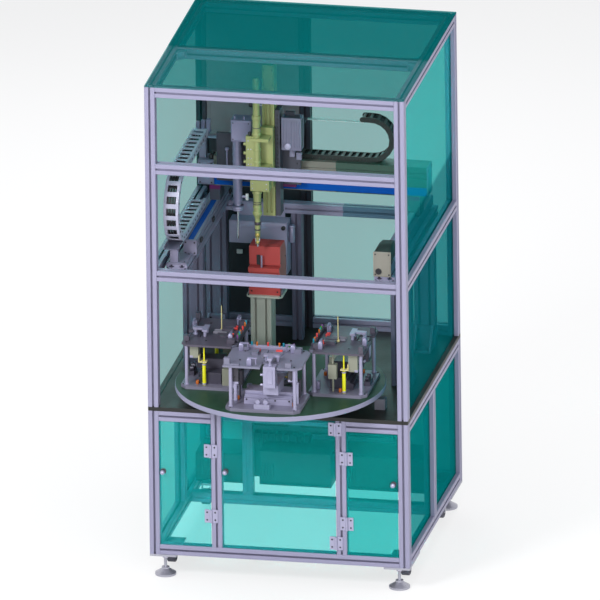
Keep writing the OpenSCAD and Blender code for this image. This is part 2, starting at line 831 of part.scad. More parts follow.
module chain(low_run, r, links, pitch, high, plate) {
    for (i = [0 : links - 1]) {
        p = chain_point(i * pitch, low_run, r);
        q = chain_point((i + 1) * pitch, low_run, r);
        translate([p[0], p[1], 0]) rotate(atan2(q[1] - p[1], q[0] - p[0])) chain_link(pitch, high, plate);
    }
}

module chain_y() {
    fixed_y = 94;
    links = 29;
    plate = 10;
    color([0.55, 0.56, 0.58]) translate([chain_y_x + chain_w / 2, fixed_y, chain_y_low])
        rotate([90, 0, -90]) chain(fixed_y - chain_y_loop, chain_y_r, links, link_y_pitch, link_y_h, plate);
}

module chain_x() {
    fixed_x = -55;
    links = 22;
    plate = 4;
    color([0.3, 0.3, 0.32]) translate([fixed_x, chain_x_y + chain_w / 2, chain_x_low])
        rotate([90, 0, 0]) chain(chain_x_loop - fixed_x, chain_x_r, links, link_x_pitch, link_x_h, plate);
}

// Screw feeder on its column, and the supply box behind it
module feeder_column() {
    head_w = 137;
    head_d = 118;
    head_t = 8;
    color([0.6, 0.6, 0.58]) {
        bar_z(column_x, column_y, table_z, table_z + column_h - head_t, 2, 2);
        translate([feeder_x, column_y + 4, table_z + column_h - head_t])
            linear_extrude(head_t) polygon(chamfered(head_w, head_d, 12));
    }
}

// The lip at the front holds the screw ready under the slot
module feeder() {
    h = feeder_h;
    d = feeder_d;
    face = 24;
    body = 14;
    lip_low = h - 95;
    lip_high = h - 79;
    face_low = h - 73;
    shoulder = 40;
    slope = 25;
    bowl_wall = 14;
    bowl_depth = 20;
    slot_x = -24.5;
    slot_half = 3;
    color([0.66, 0.28, 0.28]) translate([feeder_x, feeder_y, table_z + column_h]) difference() {
        translate([-feeder_w / 2, 0, 0]) rotate([90, 0, 90]) linear_extrude(feeder_w) polygon([
            [body, 0], [d, 0], [d, h - shoulder], [d - slope, h], [face, h], [face, face_low],
            [face + 8, face_low - 4], [face + 8, lip_high], [0, lip_high], [0, lip_low], [body, lip_low]
        ]);
        box([slot_x - slot_half, face - 1, face_low - 5], [slot_x + slot_half, face + 12, h - 36]);
        box([bowl_wall - feeder_w / 2, face + bowl_wall, h - bowl_depth],
            [feeder_w / 2 - bowl_wall, d - slope - 5, h + 1]);
    }
}

module feeder_box() {
    x0 = -334;
    x1 = -112;
    depth = 70;
    box_h = 88;
    tail_w = 46;
    tail_h = 118;
    hook = 20;
    y0 = post_back_y - half_p - depth;
    y1 = post_back_y - half_p;
    z1 = mid_z - 14;
    t = 3;
    color([0.55, 0.55, 0.58]) {
        box([x0, y0, z1 - box_h], [x1, y1 - t, z1]);
        box([x1 - tail_w, y0, z1 - box_h - tail_h], [x1, y1 - t, z1 - box_h]);
        box([x0 + hook, y1 - t, z1 - box_h / 2], [x1 - hook, y1, mid_z + profile - 4]);
    }
}

// Index drive with its fixed spigot, and the stop block under the rim
module index_drive() {
    base = 250;
    base_t = 12;
    step_z = 38;
    gear_w = 90;
    motor_r = 30;
    motor_z = table_z + 33;
    stop_w = 40;
    stop_h = 42;
    color([0.38, 0.38, 0.42]) {
        translate([disc_x, disc_y, 0]) {
            translate([0, 0, table_z]) linear_extrude(base_t) polygon(chamfered(base, base, 20));
            rod_z(0, 0, table_z + base_t, table_z + step_z, drive_r);
            rod_z(0, 0, table_z + step_z, drive_top, flange_r + 8);
            rod_z(0, 0, drive_top, disc_top - 5, spigot_r);
            box([-gear_w / 2, drive_r - 12, table_z + base_t], [gear_w / 2, drive_r + 70, drive_top - 4]);
            rod_x(drive_r + 30, motor_z, gear_w / 2, gear_w / 2 + 120, motor_r);
        }
        translate([disc_x + disc_r - 13, disc_y, table_z])
            box([-stop_w / 2, -stop_w / 2, 0], [stop_w / 2, stop_w / 2, stop_h]);
    }
}

module turntable_disc() {
    edge = 2;
    bore = spigot_r + bore_gap;
    color([0.2, 0.3, 0.24]) translate([disc_x, disc_y, 0]) rotate_extrude() polygon([
        [bore, drive_top + slide_gap], [flange_r, drive_top + slide_gap], [flange_r, disc_low],
        [disc_r - edge, disc_low], [disc_r, disc_low + edge], [disc_r, disc_top - edge],
        [disc_r - edge, disc_top], [bore, disc_top]
    ]);
}

// Places its child once per jig; the child's -Y points away from the table's centre
module at_jig(turn) {
    translate([disc_x, disc_y, 0]) rotate(turn) translate([0, -jig_r, 0]) children();
}

module jig_base_plates() {
    color([0.4, 0.38, 0.46]) for (turn = JIG_TURNS) at_jig(turn) translate([0, 0, disc_top])
        linear_extrude(jig_base_t) polygon(chamfered(jig_w, jig_d, jig_chamfer));
}

module jig_posts() {
    color([0.72, 0.7, 0.8]) for (turn = JIG_TURNS) at_jig(turn)
        for (sx = [-1, 1]) for (sy = [-1, 1])
            rod_z(sx * jig_post_x / 2, sy * jig_post_y / 2, jig_base_top, jig_top_low, jig_post_r);
}

module jig_top_plates() {
    w = jig_w + 13;
    d = jig_d - 11;
    c = jig_chamfer;
    n = jig_notch_w / 2;
    deep = cyl_y + cyl_d / 2 + 4;
    boss_r = 30;
    boss_h = 6;
    block_w = 22;
    block_h = 28;
    rest_h = 12;
    fence_w = 28;
    color([0.42, 0.4, 0.48]) for (turn = JIG_TURNS) at_jig(turn) {
        translate([0, 0, jig_top_low]) linear_extrude(jig_top_t) polygon([
            [-w / 2, -d / 2], [cyl_x - n, -d / 2], [cyl_x - n, deep], [cyl_x + n, deep],
            [cyl_x + n, -d / 2], [w / 2 - c, -d / 2], [w / 2, c - d / 2], [w / 2, d / 2 - c],
            [w / 2 - c, d / 2], [c - w / 2, d / 2], [-w / 2, d / 2 - c]
        ]);
        translate([0, 0, jig_top_high]) {
            translate([-w / 2 + 4, -d / 2 + 4, 0]) box([0, 0, 0], [block_w, 16, block_h]);
            translate([-w / 2 + 4 + block_w, -d / 2 + 4, 0]) box([0, 0, 0], [36, 16, 6]);
            translate([w / 2 - 60, -d / 2 + 6, 0]) box([0, 0, 0], [block_w, 18, block_h - 8]);
            rod_z(24, 40, 0, boss_h, boss_r);
            for (x = [-62, -28]) translate([x, 20, 0]) box([0, 0, 0], [block_w, 44, rest_h]);
            for (x = [-w / 2 + 32, w / 2 - 60]) translate([x, d / 2 - 44, 0])
                box([0, 0, 0], [fence_w, 30, 16]);
        }
    }
}

module jig_cylinders() {
    lug_y = -96;
    step = 14;
    drop = 10;
    lug_r = 9;
    wing = 6;
    color([0.72, 0.7, 0.8]) for (turn = JIG_TURNS) at_jig(turn) {
        translate([guide_x_mid - guide_w / 2, guide_y, jig_base_top]) rotate([90, 0, 90])
            linear_extrude(guide_w) polygon([
                [-guide_d, 0], [guide_d / 2, 0], [guide_d / 2, guide_h], [-guide_d + step + 12, guide_h],
                [-guide_d + step + 12, guide_h - drop], [-guide_d + step, guide_h - drop - 2],
                [-guide_d + step, guide_h - 2 * drop], [-guide_d, guide_h - 2 * drop - 2]
            ]);
        difference() {
            union() {
                box([cyl_x - cyl_w / 2 - wing, cyl_y + cyl_d / 2 - 12, jig_base_top + guide_h],
                    [cyl_x + cyl_w / 2 + wing, guide_y + guide_d / 2, cyl_low]);
                translate([cyl_x, cyl_y, cyl_low]) {
                    box([-cyl_w / 2, -cyl_d / 2, 0], [cyl_w / 2, cyl_d / 2, cyl_h]);
                    box([-cyl_w / 2, -8, -6], [cyl_w / 2, cyl_d / 2, 0]);
                }
            }
            rod_z(cyl_x, cyl_y, cyl_low + 8, cyl_top + 1, clamp_rod_r + bore_gap);
        }
        box([-32, lug_y - 10, jig_base_top], [28, lug_y + 14, jig_base_top + 18]);
        for (x = [-18, 12]) rod_y(x, jig_base_top + 26, lug_y - 4, lug_y + 10, lug_r);
    }
}

// Sensor housings: two hang under the top plate's sides, one stands on the base plate
module jig_sensors() {
    side_x = 110;
    stem_r = 4;
    hang_low = jig_top_low - 74;
    mid_low = jig_base_top + 54;
    mid_high = mid_low + 57;
    color([0.62, 0.62, 0.54]) for (turn = JIG_TURNS) at_jig(turn) {
        translate([-side_x, -60, 0]) box([-14, -18, hang_low], [14, 18, jig_top_low]);
        translate([side_x, -60, 0]) box([-14, -18, hang_low + 20], [10, 14, jig_top_low]);
        translate([-side_x, 20, 0]) box([-13, -16, mid_low], [13, 16, mid_high]);
        for (span = [[jig_base_top, mid_low], [mid_high, jig_top_low]])
            rod_z(-side_x, 20, span[0], span[1], stem_r);
        translate([side_x - 8, 44, jig_base_top]) box([-20, 0, 0], [14, 30, 66]);
    }
}

module jig_dampers() {
    body_r = 7;
    rod_r = 3;
    damper_y = -24;
    color([0.85, 0.85, 0.2]) for (turn = JIG_TURNS) at_jig(turn) for (x = [-118, 118]) {
        rod_z(x, damper_y, jig_base_top, jig_base_top + 86, body_r);
        rod_z(x, damper_y, jig_base_top + 86, jig_top_low, rod_r);
    }
}

// Clamp of one jig: the cylinder's rod and the cross arm on top of it
module clamp(turn) {
    arm_half = 30;
    arm_w = 20;
    pad_y = -34;
    pad_r = 6;
    color([0.78, 0.76, 0.84]) at_jig(turn) translate([cyl_x, 0, 0]) {
        rod_z(0, cyl_y, cyl_low + 8 + seat_gap, clamp_top, clamp_rod_r);
        translate([0, 0, clamp_top]) linear_extrude(clamp_t) polygon([
            [-9, cyl_y - 9], [9, cyl_y - 9], [11, pad_y - arm_w / 2], [arm_half, pad_y - arm_w / 2],
            [arm_half, pad_y + arm_w / 2], [-arm_half, pad_y + arm_w / 2],
            [-arm_half, pad_y - arm_w / 2], [-11, pad_y - arm_w / 2]
        ]);
        for (sx = [-1, 1]) rod_z(sx * (arm_half - 8), pad_y, jig_top_high + seat_gap, clamp_top, pad_r);
    }
}

module clamp_front() {
    clamp(JIG_TURNS[0]);
}

module clamp_left() {
    clamp(JIG_TURNS[1]);
}

module clamp_right() {
    clamp(JIG_TURNS[2]);
}

// Bridge: an X module on two sliders
module x_beam() {
    d = bridge_d;
    h = bridge_h;
    s = x_strip_h;
    color([0.6, 0.6, 0.58]) translate([bridge_left + motor_l, bridge_y, bridge_z]) rotate([90, 0, 90])
        linear_extrude(bridge_right - bridge_left - motor_l) polygon([
            [0, 0], [d, 0], [d, 30], [d - 5, 34], [d - 5, 50], [d, 54], [d, h], [0, h], [0, h - 24],
            [5, h - 28], [5, h - 44], [0, h - 48], [0, s + 4], [strip_t + 1, s + 4],
            [strip_t + 1, 2], [0, 2]
        ]);
}

module x_strip() {
    color([0.05, 0.25, 0.5]) box([bridge_left + motor_l + 1, bridge_y + 1, bridge_z + 3],
        [bridge_right - 1, bridge_y + 1 + strip_t, bridge_z + 3 + x_strip_h]);
}

module y_sliders() {
    channel = guide_rail_w / 2 + seat_gap;
    rail_top = beam_top + guide_body_h + guide_rail_h + slide_gap;
    slider_y = bridge_mid_y - slider_l / 2;
    color([0.5, 0.1, 0.4]) {
        box([chain_y_x + chain_w / 2 + 2, slider_y, y_top + slide_gap],
            [y_body_left + y_body_w, slider_y + slider_l, bridge_z]);
        translate([guide_x, 0, 0]) difference() {
            box([-guide_body_w / 2, slider_y, beam_top + guide_body_h + 2],
                [guide_body_w / 2, slider_y + slider_l, bridge_z]);
            box([-channel, slider_y - 1, beam_top], [channel, slider_y + slider_l + 1, rail_top]);
        }
    }
}

module x_motor() {
    plate_z = chain_y_low + 2 * chain_y_r - link_y_h / 2;
    seat_t = 3;
    post_w = 25;
    post_d = 30;
    high = motor_top - bridge_z;
    x0 = chain_y_x - chain_w / 2;
    color([0.5, 0.5, 0.56]) {
        translate([bridge_left, bridge_mid_y, bridge_z + high / 2]) rotate([90, 0, 90])
            linear_extrude(motor_l) polygon(chamfered(bridge_d + 8, high, 6));
        translate([bridge_left, bridge_mid_y, 0])
            box([0, -post_d / 2, motor_top], [post_w, post_d / 2, plate_z - seat_t]);
        box([x0, bridge_y - 28, plate_z - seat_t], [x0 + chain_w, bridge_mid_y + 20, plate_z]);
    }
}

// X carriage
module x_slider() {
    color([0.5, 0.1, 0.4]) box([z_module_x - 93, tool_plate_back, bridge_z + 44],
        [z_module_x + 57, x_slider_y, bridge_top - 6]);
}

module tool_plate() {
    arm_t = 3;
    arm_w = 16;
    arm_z = chain_x_low + 2 * chain_x_r - link_x_h / 2;
    arm_right = 205;
    arm_y = chain_x_y - chain_w / 2;
    web_x = z_module_x + z_module_w / 2 + 2;
    web_w = 18;
    web_y = z_module_y + 4;
    web_high = z_module_low + 423;
    box_left = z_module_x + 49;
    box_right = z_module_x + 123;
    box_low = tool_plate_high - 35;
    box_high = tool_plate_high + 93;
    box_d = 50;
    lid_h = 13;
    color([0.3, 0.3, 0.36]) {
        box([tool_plate_left, tool_plate_y, tool_plate_low],
            [tool_plate_right, tool_plate_back, tool_plate_high]);
        box([web_x, web_y, z_module_low], [web_x + web_w, tool_plate_y, web_high]);
        box([box_left, tool_plate_y - box_d, box_low], [box_right, tool_plate_y, box_high]);
        translate([box_left, tool_plate_y, box_high]) box([8, -16, 0], [44, -2, lid_h]);
        box([box_left + 10, tool_plate_back - arm_t, tool_plate_high], [box_right, tool_plate_back, arm_z]);
        box([box_right - arm_w, tool_plate_back, arm_z - arm_t], [box_right, arm_y + arm_w, arm_z]);
        box([box_right, arm_y, arm_z - arm_t], [arm_right, arm_y + arm_w, arm_z]);
    }
}

module z_module() {
    w = z_module_w;
    d = z_module_d;
    end_t = 12;
    cap_h = 90;
    rib = 10;
    flute = 6;
    color([0.68, 0.72, 0.45]) translate([z_module_x - w / 2, z_module_y, 0]) {
        translate([0, 0, z_module_low + end_t])
            linear_extrude(z_module_high - cap_h - z_module_low - end_t) polygon([
                [0, 0], [rib, 0], [rib, flute], [w / 2 - rib / 2, flute], [w / 2 - rib / 2, 0],
                [w / 2 + rib / 2, 0], [w / 2 + rib / 2, flute], [w - rib, flute], [w - rib, 0], [w, 0],
                [w, d / 2 - flute], [w - 4, d / 2 - 3], [w - 4, d / 2 + 3], [w, d / 2 + flute],
                [w, d], [0, d], [0, d / 2 + flute], [4, d / 2 + 3], [4, d / 2 - 3], [0, d / 2 - flute]
            ]);
        box([0, 0, z_module_low], [w, d, z_module_low + end_t]);
        translate([w / 2, d / 2, z_module_high - cap_h]) linear_extrude(cap_h) polygon(chamfered(w, d, 5));
    }
}

module driver_body() {
    slider_low = z_module_low + 123;
    slider_high = z_module_low + 363;
    body_low = tip_z + 130;
    body_high = tip_z + 679;
    nozzle_low = tip_z + 14;
    nozzle_r = 6;
    neck_r = 10;
    bit_hole = tip_z + 120;
    side_w = 24;
    side_d = 24;
    side_low = slider_low + 97;
    side_high = side_low + 120;
    // Each bracket's height above the slider's lower end, and its thickness
    brackets = [[2, 42], [91, 6], [200, 12]];
    r = driver_r;
    color([0.7, 0.73, 0.46]) {
        box([z_module_x - z_module_w / 2, z_slider_y, slider_low],
            [z_module_x + z_module_w / 2, z_slider_y + z_slider_t, slider_high]);
        difference() {
            union() {
                translate([driver_x, driver_y, 0]) rotate_extrude() polygon([
                    [0, nozzle_low], [nozzle_r, nozzle_low], [nozzle_r + 1, nozzle_low + 40],
                    [neck_r, nozzle_low + 46], [neck_r, body_low - 14], [r, body_low],
                    [r, body_high - 160], [r - 2, body_high - 156], [r - 2, body_high - 12],
                    [r - 6, body_high], [0, body_high]
                ]);
                for (b = brackets) translate([0, 0, slider_low + b[0]])
                    box([driver_x - r - 7, driver_y - r - 5, 0],
                        [z_module_x + z_module_w / 2 - 6, z_slider_y, b[1]]);
                box([driver_x - r - side_w, driver_y - side_d / 2, side_low],
                    [driver_x, driver_y + side_d / 2, side_high]);
            }
            rod_z(driver_x, driver_y, nozzle_low - 1, bit_hole, bit_r + bore_gap);
        }
    }
}

module driver_bit() {
    color([0.75, 0.75, 0.78]) translate([driver_x, driver_y, 0]) rotate_extrude() polygon([
        [0, tip_z], [bit_r - 1.2, tip_z], [bit_r, tip_z + 3], [bit_r, tip_z + 118], [0, tip_z + 118]
    ]);
}

module probe_body() {
    cyl_bottom = tool_plate_low - 70;
    cyl_high = tool_plate_high - 7;
    flange_h = 18;
    flange_low = cyl_bottom - 28;
    neck_r = 11;
    spine = 14;
    box_top = cyl_high + 85;
    box_l = probe_x - 18;
    box_r = probe_x + 59;
    box_front = probe_y - 25;
    stud_r = 4;
    stud_h = 13;
    side_x = probe_x - 46;
    side_y = tool_plate_y - 10;
    side_low = tool_plate_low + 30;
    side_high = cyl_high - 52;
    color([0.62, 0.61, 0.72]) {
        difference() {
            union() {
                rod_z(probe_x, probe_y, cyl_bottom, cyl_high, probe_r);
                rod_z(probe_x, probe_y, flange_low + flange_h, cyl_bottom, neck_r);
                rod_z(probe_x, probe_y, flange_low, flange_low + flange_h, probe_r + 5);
                box([probe_x - spine, probe_y, tool_plate_low + 20],
                    [probe_x + spine, tool_plate_y, cyl_high - 30]);
                box([box_l, box_front, cyl_high], [box_r, tool_plate_y, box_top]);
                for (x = [12, 48]) rod_z(box_l + x, box_front + 14, box_top, box_top + stud_h, stud_r);
            }
            rod_z(probe_x, probe_y, flange_low - 1, cyl_bottom + 180, probe_rod_r + bore_gap);
        }
        rod_z(side_x, side_y, side_low, side_high, 3.5);
        translate([side_x, side_y, side_high]) sphere(r = 8);
        box([side_x - 6, side_y - 6, side_low - 10], [side_x + 6, tool_plate_y, side_low]);
    }
}

module probe_rod() {
    rod_top = tool_plate_low + 85;
    color([0.8, 0.8, 0.82]) translate([probe_x, probe_y, 0]) rotate_extrude() polygon([
        [0, probe_tip_z], [1, probe_tip_z], [probe_rod_r, probe_tip_z + 12],
        [probe_rod_r, rod_top], [0, rod_top]
    ]);
}

module caster_fork_front_left() {
    caster_fork(-1, -1);
}

module caster_fork_front_right() {
    caster_fork(1, -1);
}

module caster_fork_rear_left() {
    caster_fork(-1, 1);
}

module caster_fork_rear_right() {
    caster_fork(1, 1);
}

module caster_wheel_front_left() {
    caster_wheel(-1, -1);
}

module caster_wheel_front_right() {
    caster_wheel(1, -1);
}

module caster_wheel_rear_left() {
    caster_wheel(-1, 1);
}

module caster_wheel_rear_right() {
    caster_wheel(1, 1);
}

lower_posts();
lower_rails();
foot_plates();
levelling_feet();
caster_fork_front_left();
caster_fork_front_right();
caster_fork_rear_left();
caster_fork_rear_right();
caster_wheel_front_left();
caster_wheel_front_right();
caster_wheel_rear_left();
caster_wheel_rear_right();
table_plate();
upper_posts();
upper_rails();
top_panel();
side_panels();
lower_panels();
back_panel_clear();
back_panel_dark();
door_left();
door_middle();
door_right();
door_left_fittings();
door_middle_fittings();
door_right_fittings();
hinge_frame_leaves();
control_panel();
gantry_posts();
gantry_beams();
y_module();
y_strip();
y_guide();
chain_y();
feeder_column();
feeder();
feeder_box();
index_drive();
turntable_disc();
jig_base_plates();
jig_posts();
jig_top_plates();
jig_cylinders();
jig_sensors();
jig_dampers();
clamp_front();
clamp_left();
clamp_right();
x_beam();
x_strip();
y_sliders();
x_motor();
chain_x();
x_slider();
tool_plate();
z_module();
probe_body();
probe_rod();
driver_body();
driver_bit();
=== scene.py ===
import math

import bmesh
import bpy
from mathutils import Matrix, Vector


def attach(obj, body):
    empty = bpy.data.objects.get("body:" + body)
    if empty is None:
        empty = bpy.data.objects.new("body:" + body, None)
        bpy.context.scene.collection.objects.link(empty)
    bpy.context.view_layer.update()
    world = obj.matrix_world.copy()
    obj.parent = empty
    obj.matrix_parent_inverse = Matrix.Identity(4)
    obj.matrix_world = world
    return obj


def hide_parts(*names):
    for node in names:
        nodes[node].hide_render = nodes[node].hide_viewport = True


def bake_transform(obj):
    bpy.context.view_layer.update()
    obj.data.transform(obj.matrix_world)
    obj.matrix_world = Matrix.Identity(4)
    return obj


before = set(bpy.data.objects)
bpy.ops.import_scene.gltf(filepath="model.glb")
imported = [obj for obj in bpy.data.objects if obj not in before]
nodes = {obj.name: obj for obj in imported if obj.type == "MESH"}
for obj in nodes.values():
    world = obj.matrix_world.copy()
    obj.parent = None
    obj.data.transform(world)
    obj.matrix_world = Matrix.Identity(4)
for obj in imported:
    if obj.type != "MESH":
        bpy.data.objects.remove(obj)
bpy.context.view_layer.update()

# The photograph's view: an orthographic camera, fitted to the frame's corners
VIEW_AZIMUTH = 11.72
VIEW_ELEVATION = 19.9
VIEW_ROLL = -0.73
VIEW_TARGET = Vector((-0.0123, -0.0026, 0.9647))
VIEW_WIDTH = 2.263
VIEW_DISTANCE = 7.0


# Camera and light


def new_object(name, data):
    thing = bpy.data.objects.new(name, data)
    bpy.context.scene.collection.objects.link(thing)
    return thing


def add_camera():
    azimuth, elevation, roll = map(math.radians, (VIEW_AZIMUTH, VIEW_ELEVATION, VIEW_ROLL))
    back = Vector((math.sin(azimuth) * math.cos(elevation), -math.cos(azimuth) * math.cos(elevation),
                   math.sin(elevation)))
    level_right = Vector((math.cos(azimuth), math.sin(azimuth), 0))
    level_up = back.cross(level_right)
    right = level_right * math.cos(roll) + level_up * math.sin(roll)
    up = back.cross(right)
    data = bpy.data.cameras.new("camera")
    data.type = "ORTHO"
    data.ortho_scale = VIEW_WIDTH
    data.clip_end = 60
    camera = new_object("camera", data)
    camera.matrix_world = Matrix.Translation(VIEW_TARGET + back * VIEW_DISTANCE) @ Matrix(
        (right, up, back)).transposed().to_4x4()
    bpy.context.scene.camera = camera


def add_area_light(name, place, aim, size, power):
    data = bpy.data.lights.new(name, "AREA")
    data.shape = "SQUARE"
    data.size = size
    data.energy = power
    lamp = new_object(name, data)
    lamp.location = place
    lamp.rotation_euler = (Vector(aim) - Vector(place)).to_track_quat("-Z", "Y").to_euler()


def add_lights():
    add_area_light("key_light", (-2.2, -4.6, 4.0), (0, 0, 1.0), 1.3, 230)
    add_area_light("front_fill", (2.2, -5.0, 2.2), (0, 0, 0.9), 3.0, 110)
    add_area_light("side_fill", (5.0, -0.6, 2.6), (0, 0, 1.0), 2.5, 60)
    add_area_light("top_light", (0.2, -0.4, 5.2), (0, 0, 0), 2.5, 80)
    add_area_light("back_light", (-1.5, 4.5, 3.0), (0, 0, 1.0), 2.5, 70)
    world = bpy.data.worlds.new("studio")
    world.use_nodes = True
    tree = world.node_tree
    tree.nodes.clear()
    seen = new_node(tree, "Background", {"Color": (1, 1, 1, 1)})
    lit = new_node(tree, "Background", {"Color": (0.86, 0.88, 0.92, 1), "Strength": 0.55})
    mix = new_node(tree, "MixShader", {0: clear_view(tree), 1: lit.outputs[0], 2: seen.outputs[0]})
    new_node(tree, "OutputWorld", {0: mix.outputs[0]})
    bpy.context.scene.world = world


def clear_view(tree):
    """1 where the camera sees the backdrop, straight, in a reflection or through glass."""
    path = new_node(tree, "LightPath").outputs
    direct = math_node(tree, "MAXIMUM", path["Is Camera Ray"], path["Is Transmission Ray"])
    return math_node(tree, "MAXIMUM", direct, path["Is Glossy Ray"])


# Steps for building shader nodes


def feed(tree, node, values):
    """Fills a node's inputs: a socket is linked, and any other value is set as it is."""
    for label, value in values.items():
        if isinstance(value, bpy.types.NodeSocket):
            tree.links.new(value, node.inputs[label])
        else:
            node.inputs[label].default_value = value
    return node


def new_node(tree, kind, values=None, operation=None):
    node = tree.nodes.new("ShaderNode" + kind)
    if operation:
        node.operation = operation
    return feed(tree, node, values or {})


def math_node(tree, operation, a, b):
    return new_node(tree, "Math", {0: a, 1: b}, operation).outputs[0]


def object_place(tree):
    return new_node(tree, "TexCoord").outputs["Object"]


def noise(tree, place, scale, detail):
    return new_node(tree, "TexNoise", {"Vector": place, "Scale": scale, "Detail": detail}).outputs[0]


def shaded(tree, colour, swing, strength):
    """The colour made lighter and darker by a swing about 0."""
    factor = math_node(tree, "ADD", math_node(tree, "MULTIPLY", swing, strength), 1.0)
    return new_node(tree, "VectorMath", {0: colour, "Scale": factor}, "SCALE").outputs[0]


def mixed(tree, factor, first, second):
    """Colour that is first where factor is 0 and second where it is 1."""
    mix = tree.nodes.new("ShaderNodeMix")
    mix.data_type = "RGBA"
    return feed(tree, mix, {"Factor": factor, 6: first, 7: second}).outputs[2]


def within(tree, low, high):
    """1 where the surface lies in the box from low to high, in metres, and 0 outside it."""
    parts = new_node(tree, "SeparateXYZ", {0: object_place(tree)}).outputs
    inside = 1.0
    for part, least, most in zip(parts, low, high):
        above = math_node(tree, "GREATER_THAN", part, least)
        below = math_node(tree, "LESS_THAN", part, most)
        inside = math_node(tree, "MULTIPLY", inside, math_node(tree, "MULTIPLY", above, below))
    return inside


def beyond_radius(tree, centre, radius):
    """1 where the surface lies farther than radius, in metres, from a vertical axis."""
    flat = new_node(tree, "VectorMath", {0: object_place(tree), 1: (1, 1, 0)}, "MULTIPLY")
    reach = new_node(tree, "VectorMath", {0: flat.outputs[0], 1: centre}, "DISTANCE")
    return math_node(tree, "GREATER_THAN", reach.outputs["Value"], radius)


# Surface effects that the materials share


def new_group(name, inputs, outputs):
    group = bpy.data.node_groups.new(name, "ShaderNodeTree")
    for label, kind, value in inputs:
        socket = group.interface.new_socket(label, in_out="INPUT", socket_type="NodeSocket" + kind)
        socket.default_value = value
    for label, kind in outputs:
        group.interface.new_socket(label, in_out="OUTPUT", socket_type="NodeSocket" + kind)
    enter = group.nodes.new("NodeGroupInput")
    leave = group.nodes.new("NodeGroupOutput")
    return group, enter.outputs, leave


SURFACE_OUTPUTS = [("Color", "Color"), ("Roughness", "Float"), ("Normal", "Vector")]


def feed_surface(group, given, leave, swing, shade, wear, height, rise):
    """Outputs of a surface effect: the swing about 0 shades the colour and roughens by the share
    wear, and the height bumps the normal by up to rise metres."""
    rough = math_node(group, "ADD", math_node(group, "MULTIPLY", swing, wear), given["Roughness"])
    bump = new_node(group, "Bump", {"Distance": rise, "Strength": given["Depth"], "Height": height})
    colour = shaded(group, given["Color"], swing, shade)
    feed(group, leave, {"Color": colour, "Roughness": rough, "Normal": bump.outputs[0]})


def grain_group():
    """Fine streaks along one axis, with soft mottling, for extrusions and ground plates."""
    group, given, leave = new_group(
        "grain",
        [("Color", "Color", (1, 1, 1, 1)), ("Stretch", "Vector", (400, 400, 400)),
         ("Depth", "Float", 0.1), ("Roughness", "Float", 0.4), ("Shade", "Float", 0.08)],
        SURFACE_OUTPUTS)
    place = object_place(group)
    stretched = new_node(group, "VectorMath", {0: place, 1: given["Stretch"]}, "MULTIPLY")
    streaks = noise(group, stretched.outputs[0], 1.0, 3.0)
    mottle = noise(group, place, 9.0, 4.0)
    swing = math_node(group, "SUBTRACT", math_node(group, "ADD", streaks, mottle), 1.0)
    feed_surface(group, given, leave, swing, given["Shade"], 0.25, streaks, 0.0004)
    return group


def speckle_group():
    """Fine orange-peel texture with faint dust, for paint and moulded plastic."""
    group, given, leave = new_group(
        "speckle",
        [("Color", "Color", (1, 1, 1, 1)), ("Scale", "Float", 900.0), ("Depth", "Float", 0.1),
         ("Roughness", "Float", 0.5)],
        SURFACE_OUTPUTS)
    place = object_place(group)
    peel = noise(group, place, given["Scale"], 2.0)
    dust = noise(group, place, 14.0, 6.0)
    swing = math_node(group, "SUBTRACT", dust, 0.5)
    feed_surface(group, given, leave, swing, 0.22, 0.3, peel, 0.0003)
    return group


def dye_group():
    """The uneven dye of cast acrylic: broad soft clouds in its colour."""
    group, given, leave = new_group(
        "dye",
        [("Color", "Color", (1, 1, 1, 1)), ("Drift", "Float", 0.14), ("Scale", "Float", 2.4)],
        [("Color", "Color")])
    clouds = noise(group, object_place(group), given["Scale"], 3.0)
    swing = math_node(group, "SUBTRACT", clouds, 0.5)
    feed(group, leave, {"Color": shaded(group, given["Color"], swing, given["Drift"])})
    return group


GRAIN = grain_group()
SPECKLE = speckle_group()
DYE = dye_group()


# Materials


def linear(red, green, blue):
    """A colour judged from the photograph, 0 to 255 on the sRGB curve, as linear values."""
    values = [c / 255 for c in (red, green, blue)]
    return tuple(v / 12.92 if v < 0.04045 else ((v + 0.055) / 1.055) ** 2.4 for v in values) + (1,)


def new_material(name):
    material = bpy.data.materials.new(name)
    material.use_nodes = True
    return material, material.node_tree, material.node_tree.nodes["Principled BSDF"]


def effect_node(tree, group, values):
    """The node that brings a shared effect into a material; its name lets recolour find it."""
    effect = tree.nodes.new("ShaderNodeGroup")
    effect.node_tree = group
    effect.name = "effect"
    return feed(tree, effect, values).outputs


def surface_material(name, group, rgb, metallic, roughness, settings, coat=0.0, specular=0.5):
    material, tree, shader = new_material(name)
    made = effect_node(tree, group, {"Color": linear(*rgb), "Roughness": roughness, **settings})
    feed(tree, shader, {"Metallic": metallic, "Coat Weight": coat, "Specular IOR Level": specular,
                        "Base Color": made["Color"], "Roughness": made["Roughness"],
                        "Normal": made["Normal"]})
    return material


def metal(name, rgb, roughness=0.4, metallic=0.55, along=(260, 260, 260), depth=0.12, shade=0.1):
    return surface_material(name, GRAIN, rgb, metallic, roughness,
                            {"Stretch": along, "Depth": depth, "Shade": shade})


def paint(name, rgb, roughness=0.42, coat=0.15, scale=700.0, depth=0.12, specular=0.4):
    return surface_material(name, SPECKLE, rgb, 0.0, roughness,
                            {"Scale": scale, "Depth": depth}, coat=coat, specular=specular)


def tinted_sheet(name, rgb, cover, clear):
    """Acrylic sheet: cover is the share of light that its dye meets at each face, and clear the
    part of that share that goes on through, in the dye's colour."""
    material, tree, shader = new_material(name)
    made = effect_node(tree, DYE, {"Color": linear(*rgb)})
    feed(tree, shader, {"Base Color": made["Color"], "Roughness": 0.0, "IOR": 1.0,
                        "Transmission Weight": clear, "Alpha": cover})
    return material


